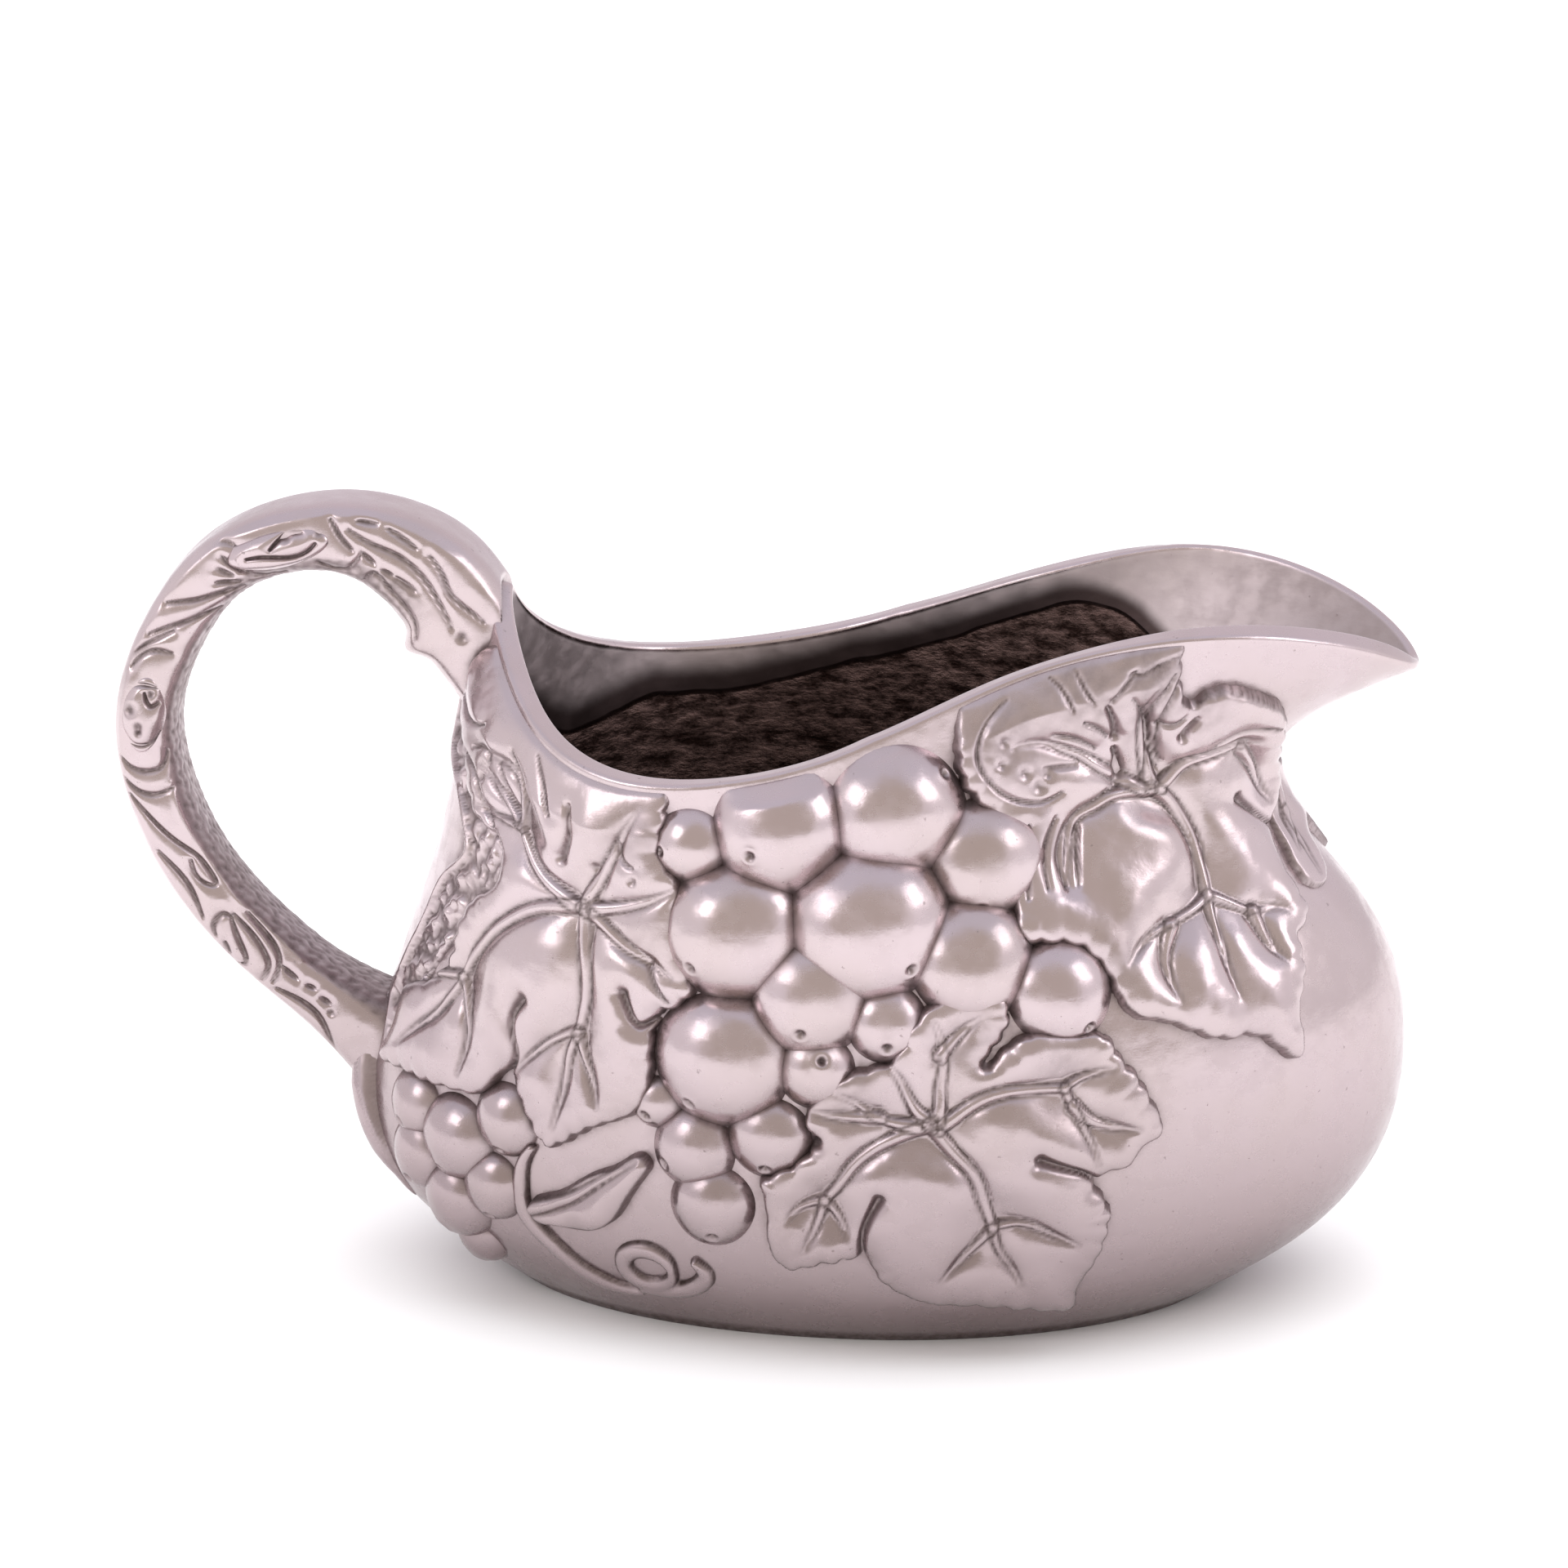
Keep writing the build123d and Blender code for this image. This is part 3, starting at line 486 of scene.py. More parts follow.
def leaf_height(u, v, leaf, scallop):
    """Height of a leaf above the wall, how dark it is, and the distance inside its edge."""
    edge = edge_distance(u, v, leaf["outline"], scallop)
    rib = np.zeros(len(u))
    panel = 0.25 + 0.75 * swelling(edge, SWELL_REACH)
    dark = np.exp(-(np.maximum(edge, 0) / 0.35) ** 2) * np.where(edge < 0, 0.55, 0.8)
    veins = leaf["veins"]
    for (distance, along), (first, last) in zip(near_strokes(u, v, veins), vein_widths(veins)):
        half = first + (last - first) * along
        peak = RIB * (0.45 + 0.55 * half / RIB_WIDTH)
        rib = np.maximum(rib, peak * np.sqrt(np.clip(1 - (distance / half) ** 2, 0, 1)))
        fading = 1 - (0.7 * along ** 3 if last == TIP_WIDTH else 0)
        panel = panel * (1 - fading * (1 - swelling(distance - half * 0.9, SWELL_REACH)))
        crease = np.abs(distance - half)
        dark = np.maximum(dark, fading * np.exp(-(crease / 0.28) ** 2))
    height = (LEAF_EDGE + np.maximum(LEAF_SWELL * panel, rib)) * leaf.get("rise", 1)
    for distance, along in near_strokes(u, v, leaf.get("slits", [])):
        reach = distance / (SLIT_WIDTH - 0.5 * np.sqrt(along))
        height = height - SLIT_DEPTH * np.exp(-reach ** 2) - 0.9 * np.exp(-(distance / 2.2) ** 2)
        dark = np.maximum(dark, (0.95 - 0.35 * along) * np.exp(-(reach / 0.75) ** 2))
    for distance, along in near_strokes(u, v, leaf.get("grooves", [])):
        half = GROOVE_WIDTH * (0.55 + 1.8 * along * (1 - along))
        height = height - GROOVE_DEPTH * np.exp(-(distance / half) ** 2)
        height = height - 0.35 * np.exp(-(distance / 1.6) ** 2)
        dark = np.maximum(dark, np.exp(-(distance / (0.8 * half)) ** 2))
    for pit_u, pit_v, size in leaf.get("pits", []):
        reach = np.hypot(u - pit_u, v - pit_v) / size
        height = height - LEAF_PIT_DEPTH * np.exp(-reach ** 2)
        dark = np.maximum(dark, 0.7 * np.exp(-(reach / 0.9) ** 2))
    for shade_u, shade_v, size, strength in leaf.get("shades", []):
        reach = np.hypot(u - shade_u, v - shade_v) / size
        mottle = 0.7 + 0.3 * ripple(np.stack([u, v, u - v], -1), 1.2)
        dark = np.maximum(dark, strength * mottle * np.exp(-reach ** 2))
    height = height + LEAF_RIPPLE * ripple(np.stack([u, v, u + v], -1), 4.5)
    rise = np.clip((edge + STEEPNESS) / (2 * STEEPNESS), 0, 1)
    height = -0.9 + (height + 0.9) * rise * (2 - rise)
    if "ground" in leaf:
        height, dark, edge = add_ground(u, v, leaf, height, dark, edge)
    return height, dark, edge

def add_ground(u, v, leaf, height, dark, edge):
    """A strip of rough, dark ground beside a leaf, with a thin vine along its far side."""
    strip = edge_distance(u, v, leaf["ground"], 0)
    line = smooth_line(leaf["vine"])
    distance, along = near_line(u, v, line)
    knobbly = VINE_WIDTH * (1 + 0.15 * np.sin(along * 90))
    tube = VINE_HEIGHT * np.sqrt(np.clip(1 - (distance / knobbly) ** 2, 0, 1))
    lumps = np.abs(ripple(np.stack([u, v, u - v], -1), 2.6)
                   + 0.35 * ripple(np.stack([v, u + v, u], -1), 0.9))
    rough = np.where(strip > 0, 0.1 + 1.2 * lumps, -0.9 * np.clip(-strip / 0.4, 0, 1))
    dark = np.where(rough > height, 0.75 - 1.6 * lumps, dark)
    height = np.maximum(height, rough)
    dark = np.where(tube > height, np.exp(-((distance / knobbly - 1) / 0.2) ** 2), dark)
    height = np.maximum(height, np.where(tube > 0, tube, -0.9))
    return height, dark, np.maximum(np.maximum(edge, strip), knobbly - distance)

def below_rim(height, angles, shares, fading):
    """Heights above the wall cut down near the rim: relief thins out over the fading distance."""
    _, climb = wall_slopes(angles, shares)
    gap = (1 - shares) * np.linalg.norm(climb, axis=1)
    thin = np.clip((gap - 0.8) / fading, 0, 1) ** 0.8
    height = np.where(height > 0, height * thin, height)
    limit = 2.0 * (gap - 1.2)
    soft = 0.25
    return np.where(height > -0.3, -soft * np.logaddexp(-height / soft, -limit / soft), height)

def wall_patch(place, box, spacing, height_of):
    """A closed piece over a box of the seat's plane, wherever height_of rises out of the wall."""
    seat = Seat(*place)
    (u0, v0), (u1, v1) = box
    us = np.arange(u0, u1, spacing)
    vs = np.arange(v0, v1, spacing)
    v, u = [a.ravel() for a in np.meshgrid(vs, us, indexing="ij")]
    height, dark, edge = height_of(u, v)
    angles, shares = seat.find(u, v)
    base = wall(angles, shares)
    normals = wall_normals(angles, shares)
    height = below_rim(height, angles, shares, LEAF_FADING)
    top = base + normals * height[:, None]
    back = base - normals * BACK_DEPTH
    faces = grid_faces(len(vs), len(us), False)
    keep = (edge[faces] > -0.75).all(axis=1) & (shares[faces] < 0.996).all(axis=1)
    faces = faces[keep]
    count = len(u)
    sides = boundary_sides(faces, count)
    points = np.concatenate([top, back])
    every = np.concatenate([faces, faces[:, ::-1] + count, sides])
    return drop_unused(points, every, np.concatenate([dark, dark]))

def boundary_sides(faces, count):
    """Quads that join the open edge of faces to the same edge on the back."""
    edges = np.concatenate([faces[:, [i, (i + 1) % 4]] for i in range(4)])
    keys = edges[:, 0] * count + edges[:, 1]
    opposite = edges[:, 1] * count + edges[:, 0]
    rim = edges[~np.isin(keys, opposite)]
    return np.stack([rim[:, 1], rim[:, 0], rim[:, 0] + count, rim[:, 1] + count], -1)

def drop_unused(points, faces, patina_and_shade):
    used, faces_new = np.unique(faces, return_inverse=True)
    return points[used], faces_new.reshape(faces.shape), patina_and_shade[used]

def build_leaf(leaf, spacing=0.38, scallop=0.5):
    outline = np.array(leaf["outline"])
    box = (outline.min(axis=0) - 1.6, outline.max(axis=0) + 1.6)
    return wall_patch(leaf["seat"], box, spacing, lambda u, v: leaf_height(u, v, leaf, scallop))

# ---- Grapes ----
POLAR_ANGLES = np.concatenate([np.linspace(0, 0.16, 9), np.linspace(0.2, 2.5, 44)])   # finer at the pit
GRAPE_COLUMNS = 80
PIT_RADIUS = 0.6
PIT_DEPTH = 0.85

def build_grape(degrees, height, footprint, pit_direction, pit_offset):
    """A ball sunk into the wall, left open deep inside it, with a small pit on its face."""
    seat = Seat(degrees, height)
    radius = GRAPE_FULLNESS * footprint / math.sqrt(1 - GRAPE_SINK ** 2)
    clock = math.radians(pit_direction)
    pole = (seat.n * math.sqrt(1 - pit_offset ** 2)
            + (seat.u * math.cos(clock) + seat.v * math.sin(clock)) * pit_offset)
    side = unit(np.cross(pole, seat.n + seat.u * 0.01))
    other = np.cross(side, pole)
    turn = np.linspace(0, 2 * math.pi, GRAPE_COLUMNS, endpoint=False)
    polar, spin = [a.ravel() for a in np.meshgrid(POLAR_ANGLES, turn, indexing="ij")]
    direction = (np.cos(polar)[:, None] * pole + np.sin(polar)[:, None]
                 * (np.cos(spin)[:, None] * side + np.sin(spin)[:, None] * other))
    pit = PIT_RADIUS / radius
    reach = radius + 0.12 * np.exp(-((polar - 2.0 * pit) / (0.9 * pit)) ** 2)
    reach -= PIT_DEPTH * np.exp(-(polar / pit) ** 2)
    reach += 0.16 * ripple(direction * radius + seat.origin, 4.5)
    offset = direction * reach[:, None] - seat.n * radius * GRAPE_SINK
    angles, shares = seat.find(offset @ seat.u, offset @ seat.v)
    shares = np.minimum(shares, 0.992)
    base = wall(angles, shares)
    above = (seat.origin + offset - base) @ seat.n
    above = below_rim(np.maximum(above, -2.2), angles, shares, GRAPE_FADING)
    points = base + wall_normals(angles, shares) * above[:, None]
    dark = np.exp(-(polar / (1.2 * pit)) ** 2)
    return points, grid_faces(len(POLAR_ANGLES), GRAPE_COLUMNS, True), dark

def build_bunch(grapes):
    """All the grapes of a bunch as one piece."""
    parts = [build_grape(*grape) for grape in grapes]
    offsets = np.cumsum([0] + [len(points) for points, _, _ in parts[:-1]])
    points = np.concatenate([points for points, _, _ in parts])
    faces = np.concatenate([faces + offset for (_, faces, _), offset in zip(parts, offsets)])
    return points, faces, np.concatenate([dark for _, _, dark in parts])

# ---- Strands on the wall ----
TENDRIL_SEAT = (122.0, 20.0)
TENDRIL = [(-9.6, 10.2), (-11, 8), (-12, 3.5), (-11.3, -1.4), (-7.8, -5.6), (-3.5, -10), (1.6, -12.6),
    (6.5, -12.6)]
TENDRIL_TAIL = [(7, -11.8), (12, -11.6), (16, -10.2), (18.2, -7.4), (17, -5.2)]
CURL = (8.8, -7.4)
CURL_RADIUS = 3.5
TENDRIL_WIDTH = 1.55       # half the width of the tendril
TENDRIL_HEIGHT = 1.3
STRAND_SPACING = 0.3       # distance between the points of a strand's mesh

def strand_height(u, v, lines, half_width, peak):
    """Height of round strands along lines, and how dark they are at their sides."""
    across = np.full(len(u), 1e9)
    for line in lines:
        distance, along = near_line(u, v, line)
        taper = np.clip(0.55 + 2.2 * np.minimum(along, 1 - along), 0, 1)
        across = np.minimum(across, distance / (half_width * taper))
    edge = (1 - across) * half_width
    height = np.where(across < 1, peak * np.sqrt(np.maximum(1 - across ** 2, 0)), 0)
    height = np.where(across < 1, height, -0.9 * np.clip((across - 1) * half_width / 0.4, 0, 1))
    return height, np.exp(-((across - 1) / 0.25) ** 2), edge

def build_tendril():
    turns = np.linspace(0, 2 * math.pi, 60)
    curl = np.stack([CURL[0] + 1.15 * CURL_RADIUS * np.cos(turns),
                     CURL[1] + CURL_RADIUS * np.sin(turns)], -1)
    lines = [smooth_line(TENDRIL), smooth_line(TENDRIL_TAIL), curl]
    return wall_patch(TENDRIL_SEAT, ((-15, -16), (22, 13)), STRAND_SPACING,
                      lambda u, v: strand_height(u, v, lines, TENDRIL_WIDTH, TENDRIL_HEIGHT))

ROOT_SEAT = (168.0, 30.0)
ROOT_WIDTH = 2.7           # half the width of the strand below the handle
ROOT_HEIGHT = 3.0
ROOT = [(-4.8, 13), (-4.1, 8.1), (-1.6, 0), (1.7, -7.9), (4.4, -15)]
# Heights up the seat and the share of its full height that the root has there.
ROOT_SHAPE = ((-16, -13, -9, -4, 0, 5, 9, 14), (0.1, 0.2, 0.6, 0.9, 1.1, 1.1, 0.8, 0.1))

def build_root():
    line = smooth_line(ROOT)

    def height_of(u, v):
        height, dark, edge = strand_height(u, v, [line], ROOT_WIDTH, ROOT_HEIGHT)
        height = np.where(height > 0, height * np.interp(v, *ROOT_SHAPE), height)
        twist = np.abs(np.sin((v * 0.5 + u) * 0.75))
        groove = np.exp(-(twist / 0.12) ** 2) * (edge > 0.3)
        return height - 0.3 * groove, np.maximum(0.3 * dark, 0.25 * groove), edge
    return wall_patch(ROOT_SEAT, ((-10, -20), (10, 16)), STRAND_SPACING, height_of)

# ---- The handle ----
HANDLE_SQUARENESS = 2.7    # exponent of the handle's rounded section on the inside of the loop
HANDLE_FLATNESS = 4.5      # and on the outside, which is flatter
HANDLE_DEEP = 2.0          # how far into the vessel's wall the handle's ends reach
HANDLE_START = 1.5         # the mesh leaves out this much of the centre line at both ends
HANDLE_ROWS = 450
HANDLE_COLUMNS = 168
DOME_ROWS = 46
DOME_BACK_ROWS = 8
DOME_COLUMNS = 120
BOSS_PLACE = 16.5          # a short spur under the handle, near its upper root
BOSS_HEIGHT = 3.4
CROWN_PLACE = 42           # where the top of the loop stands up most
CROWN_HEIGHT = 1.3
# Carving on the handle's sides: (distance along from the upper root, distance out from the centre
# line), and for a pit its radius. A bud or knot is a low dome with carving of its own.
HANDLE_GROOVES = [[(40, 3.5), (39, 2), (38, 1), (36.5, 0)],
    [(37.5, 2.5), (34, 1.5), (30, 1.5), (25.5, 1), (21, 0), (16, -1)], [(36.5, 3.8), (34, 4.2)],
    [(32.5, 4.2), (28, 3.7)], [(35, 0), (32.5, -1)], [(31, -1.5), (29, -1.5)], [(28.5, -1.5), (24.5, -1.5)],
    [(26, 4), (23, 3), (20.5, 2), (17.5, 2.5), (14, 3.5)], [(28, 7.2), (25.5, 8), (23.5, 8), (20, 8)],
    [(33.5, -4.5), (32, -2.5), (29, -3.5), (24.5, -4.5), (18, -6)],
    [(42, -2.5), (39, -3.5), (36.5, -3), (35, -0.5)], [(56, 4.5), (54, 2.5)], [(56.5, 2), (55, -1)],
    [(55.5, 0.5), (53, -2.6), (48, -3.7)], [(59.5, -0.5), (56, -2.5)], [(58, 1), (56.5, -1)],
    [(67, 3), (64, 0), (60.5, -2), (56, -3.5)], [(72.5, 3), (69.5, 0.5), (66, -2), (62, -4)],
    [(76.5, 4.2), (73, 2), (70, 0)], [(78, 3.5), (76.5, 3), (74.5, 1.5), (73.5, -1.5)],
    [(91.5, 3.8), (93, 2.5), (94, 0), (93.5, -2.5), (91, -3.4)],
    [(94.5, 4), (97, 2), (98, -1), (97.5, -3.2)],
    [(97, 3.8), (101, 2), (105.5, 0), (109.5, -2), (113, -2.5), (115.5, -2), (113.5, -0.5), (110, -1)],
    [(106.5, 3), (111, 1.7), (114.5, 1.7), (118.5, 3)], [(122, 3.5), (120.5, 2.5), (120, 0), (121.5, -0.7)],
    [(121.5, -0.5), (124.5, 1), (128, 3), (127.5, 4)],
    [(121, -1.2), (125, -1.2), (128.5, -0.5), (131, 1), (131.5, 3.5)],
    [(122.5, -3), (126.5, -2.7), (130, -2), (132, -0.5), (133, 2.5)], [(123.5, 3), (125.5, 4)],
    [(132.5, -0.5), (135.5, -0.5)], [(137.5, -0.7), (138.7, -1)], [(140.5, -0.5), (142, -0.5)],
    [(134, 3), (138, 2), (141, 2), (143.5, 3), (147, 5.5), (150.5, 8)]]
HANDLE_RIDGE = [(97, -3.2), (103.5, -3), (108, -3.4), (112.5, -3.5), (121, -3.5), (126, -3.8), (134, -3.6)]
HANDLE_PITS = [(14, -0.5, 0.8), (143, 0.5, 0.5)]
BUD = {
    "place": (48, 1),
    "size": (8, 3.7),
    "height": 1.7,
    "grooves": [[(49, 0.8), (46.5, 2.3), (44, 2.5)],
        [(53, 0.5), (50.5, 0), (46.5, -1), (43.5, -0.5), (42, 0.8)], [(54, 3), (50, 3.6), (45, 3.5)]],
    "pits": [(41.5, 2.3, 0.6), (46.3, 2.2, 0.7)],
}
KNOT = {
    "place": (84.6, 0.2),
    "size": (6.2, 3.7),
    "height": 1.5,
    "grooves": [[(80.5, 2.5), (79.8, 1), (79.6, -1.5)], [(88, 2.6), (89.4, 1), (89, -1.7), (87.2, -2.8)],
        [(81, 0.3), (82.8, -1), (82, -2.2)]],
    "pits": [(80.8, -0.7, 0.6), (84, 2.1, 0.9), (86.3, 0.5, 0.7), (87.3, 0.5, 0.6)],
}

class HandleLine:
    """The handle's centre line, read by distance along it."""
    def __init__(self):
        stations = np.arange(len(HANDLE))
        fine = np.linspace(0, len(HANDLE) - 1, 2000)
        values = spline(stations, HANDLE, fine)
        self.along = np.concatenate([[0], np.cumsum(np.linalg.norm(np.diff(values[:, :2], axis=0), axis=1))])
        self.values = values
        self.tangents = unit(np.gradient(values[:, :2], axis=0))

    def read(self, along):
        """Centre x and z, depth, width and the outward direction at distances along the line."""
        x, z, depth, width = [np.interp(along, self.along, column) for column in self.values.T]
        tx, tz = [np.interp(along, self.along, column) for column in self.tangents.T]
        return x, z, depth, width, tz, -tx

def carving(along, out, grooves, pits):
    """Height, from 0 down, and darkness of carved lines and pits."""
    nearest = np.full(len(along), 9.0)
    height = np.zeros(len(along))
    dark = np.zeros(len(along))
    for distance, share in near_strokes(along, out, grooves):
        half = 0.34 * (0.5 + 2 * share * (1 - share))
        nearest = np.minimum(nearest, distance)
        height = np.minimum(height, -0.5 * np.exp(-(distance / half) ** 2))
        dark = np.maximum(dark, np.exp(-(distance / half) ** 2))
    for pit_along, pit_out, size in pits:
        reach = np.hypot(along - pit_along, out - pit_out) / size
        height = height - 0.7 * np.exp(-reach ** 2)
        dark = np.maximum(dark, np.exp(-(reach / 0.9) ** 2))
    return height - 0.75 * np.exp(-nearest / 1.1), dark

def handle_section(columns):
    """Even points round the handle's section, from -1 to 1: outward in the loop, and along Y."""
    turn = np.linspace(0, 2 * math.pi, 4000)
    power = 2 / np.where(np.cos(turn) > 0, HANDLE_FLATNESS, HANDLE_SQUARENESS)
    across = np.sign(np.cos(turn)) * np.abs(np.cos(turn)) ** power
    side = np.sign(np.sin(turn)) * np.abs(np.sin(turn)) ** power
    steps = np.hypot(np.diff(across), 1.45 * np.diff(side))
    lengths = np.concatenate([[0], np.cumsum(steps)])
    even = np.linspace(0, lengths[-1], columns, endpoint=False)
    return np.interp(even, lengths, across), np.interp(even, lengths, side)

def wall_behind(y, z):
    """The wall's x at the handle's end of the vessel, near the symmetry plane."""
    shares = np.linspace(0, 1, 200)
    middle = wall(np.full(200, math.pi), shares)
    side = wall(np.full(200, math.pi - 0.3), shares)
    x_middle = np.interp(z, middle[:, 2], middle[:, 0])
    x_side = np.interp(z, side[:, 2], side[:, 0])
    y_side = np.interp(z, side[:, 2], side[:, 1])
    return x_middle + (x_side - x_middle) * (y / y_side) ** 2

def build_handle():
    line = HandleLine()
    rows, columns = HANDLE_ROWS, HANDLE_COLUMNS
    along = np.linspace(HANDLE_START, line.along[-1] - HANDLE_START, rows)
    across, side = handle_section(columns)
    along, across = [g.ravel() for g in np.meshgrid(along, across, indexing="ij")]
    side = np.tile(side, rows)
    x, z, depth, width, out_x, out_z = line.read(along)
    out = across * depth / 2
    height, dark = carving(along, out, HANDLE_GROOVES, HANDLE_PITS)
    distance, _ = near_line(along, out, smooth_line(HANDLE_RIDGE))
    height = height + 0.55 + 0.5 * np.exp(-(distance / 0.7) ** 2)
    face = np.clip((np.abs(side) - 0.5) / 0.25, 0, 1) * np.clip((0.95 - np.abs(across)) / 0.15, 0, 1)
    plain_top = np.clip((across - 0.75) / 0.12, 0, 1) * np.clip((along - 22) / 6, 0, 1)
    height = height * face * (1 - plain_top)
    dark = dark * face * (1 - plain_top)
    rough = np.clip((-3.2 - out + 1.6 * (along < 60)) / 0.6, 0, 1) * np.clip((along - 18) / 10, 0, 1)
    grains = ripple(np.stack([along, out, side * 7], -1), 0.55)
    boss = BOSS_HEIGHT * np.exp(-((along - BOSS_PLACE) / 2.4) ** 2) * np.clip(-across - 0.3, 0, 1)
    crown = CROWN_HEIGHT * np.exp(-((along - CROWN_PLACE) / 22) ** 2) * np.clip(across, 0, 1)
    out = out + crown - boss + rough * 0.12 * grains
    dark = np.maximum(dark, rough * (0.55 + 0.25 * grains))
    half_width = width / 2 + height + rough * 0.12 * grains
    points = np.stack([x + out_x * out, side * half_width, z + out_z * out], -1)
    points[:, 0] = np.minimum(points[:, 0], wall_behind(points[:, 1], points[:, 2]) + HANDLE_DEEP)
    faces = [grid_faces(rows, columns, True)[:, ::-1]]
    for row, turned in ((0, 1), (rows - 1, -1)):
        ring = row * columns + np.arange(columns)
        middle = points[ring].mean(axis=0)
        tip = np.full(columns, len(points))
        points = np.vstack([points, middle])
        dark = np.append(dark, 0)
        faces.append(np.stack([ring, np.roll(ring, -1), tip, tip], -1)[:, ::turned])
    return points, np.concatenate(faces), dark

def build_dome(dome):
    """A low carved dome on the handle's front face, closed by a shallow back inside the handle."""
    line = HandleLine()
    radii = np.concatenate([np.linspace(0, 1, DOME_ROWS), np.linspace(0.97, 0, DOME_BACK_ROWS)])
    top = np.concatenate([np.ones(DOME_ROWS), np.zeros(DOME_BACK_ROWS)])
    turn = np.linspace(0, 2 * math.pi, DOME_COLUMNS, endpoint=False)
    radius, spin = [g.ravel() for g in np.meshgrid(radii, turn, indexing="ij")]
    top = np.repeat(top, DOME_COLUMNS)
    along = dome["place"][0] + dome["size"][0] * radius * np.cos(spin)
    out = dome["place"][1] + dome["size"][1] * radius * np.sin(spin) * (1 - 0.2 * np.cos(spin) ** 2)
    height, dark = carving(along, out, dome["grooves"], dome["pits"])
    x, z, depth, width, out_x, out_z = line.read(along)
    share = np.clip(np.abs(2 * out / depth), 0, 0.98)
    face = width / 2 * (1 - share ** HANDLE_SQUARENESS) ** (1 / HANDLE_SQUARENESS)
    swell = dome["height"] * np.sqrt(np.clip(1 - radius ** 2.4, 0, 1))
    rise = np.where(top > 0, 0.15 + swell + (height + 0.4) * np.clip(4 * (1 - radius), 0, 1), -1.2)
    points = np.stack([x + out_x * out, -(face + rise), z + out_z * out], -1)
    return points, grid_faces(len(radii), DOME_COLUMNS, True), dark * top

# ---- Materials ----
METAL = (0.575, 0.483, 0.498, 1)
METAL_WARM = (0.55, 0.462, 0.465, 1)
# Colour of the patina in recesses and of the painted crevice shade
PATINA_AND_SHADE_COLOUR = (0.055, 0.035, 0.028, 1)
# Painted shade towards the foot: its colour, and the heights where it starts and is darkest.
FOOT_SHADE_COLOUR = (0.305, 0.242, 0.248, 1)
FOOT_SHADE_TOP = 0.072           # height in metres at which the painted shade starts to darken the metal downwards
FOOT_SHADE_BOTTOM = -0.004       # and where the painted shade would be darkest
# The polished band inside, painted lighter than the outer metal as painted light
INNER_BAND_PAINTED_LIGHT = (0.86, 0.76, 0.77, 1)
# Colour of the painted shade inside the spout
INNER_SPOUT_SHADE = (0.40, 0.335, 0.325, 1)
# Colour of the painted shade inside the bowl, below the polished band
INNER_SHADE_COLOUR = (0.055, 0.030, 0.028, 1)
CAST_DARK = (0.035, 0.019, 0.016, 1)
CAST_LIGHT = (0.27, 0.18, 0.16, 1)
FLOOR_COOL = (0.93, 0.93, 0.935, 1)
FLOOR_PLAIN = (0.95, 0.95, 0.95, 1)
CREVICE_REACH = 0.0026     # how far a point looks around for metal that hides it, for the painted crevice shade
BUMP_HEIGHT = 0.00022
SMOOTHEST = 0.155          # roughness of the best polished spots

class Nodes:
    """Short calls for the nodes of a material or of the world."""
    def __init__(self, owner):
        owner.use_nodes = True
        self.tree = owner.node_tree

    def add(self, kind, **sockets):
        node = self.tree.nodes.new(kind)
        for name, value in sockets.items():
            self.put(node, name.replace("_", " "), value)
        return node

    def put(self, node, socket, value):
        target = node.inputs[socket]
        if isinstance(value, bpy.types.NodeSocket):
            self.tree.links.new(value, target)
        else:
            target.default_value = value

    def math(self, operation, a, b=0.0, clamp=False):
        node = self.tree.nodes.new("ShaderNodeMath")
        node.operation = operation
        node.use_clamp = clamp
        for index, value in enumerate((a, b)):
            self.put(node, index, value)
        return node.outputs[0]

    def times(self, a, b):
        return self.math("MULTIPLY", a, b)

    def plus(self, a, b, clamp=False):
        return self.math("ADD", a, b, clamp)

    def axis(self, vector, name):
        return self.add("ShaderNodeSeparateXYZ", Vector=vector).outputs[name]

    def noise(self, vector, scale, detail=4.0, roughness=0.55):
        node = self.add("ShaderNodeTexNoise", Vector=vector, Scale=scale, Detail=detail,
                        Roughness=roughness)
        return node.outputs["Fac"]

    def step(self, value, low, high):
        """0 below low, 1 above high, smooth between."""
        node = self.tree.nodes.new("ShaderNodeMapRange")
        node.interpolation_type = "SMOOTHSTEP"
        for socket, number in (("Value", value), ("From Min", low), ("From Max", high)):
            self.put(node, socket, number)
        return node.outputs["Result"]

    def mix(self, factor, a, b):
        node = self.tree.nodes.new("ShaderNodeMix")
        node.data_type = "RGBA"
        self.put(node, 0, factor)
        self.put(node, 6, a)
        self.put(node, 7, b)
        return node.outputs[2]

    def attribute(self, name):
        node = self.tree.nodes.new("ShaderNodeAttribute")
        node.attribute_name = name
        return node.outputs["Fac"]

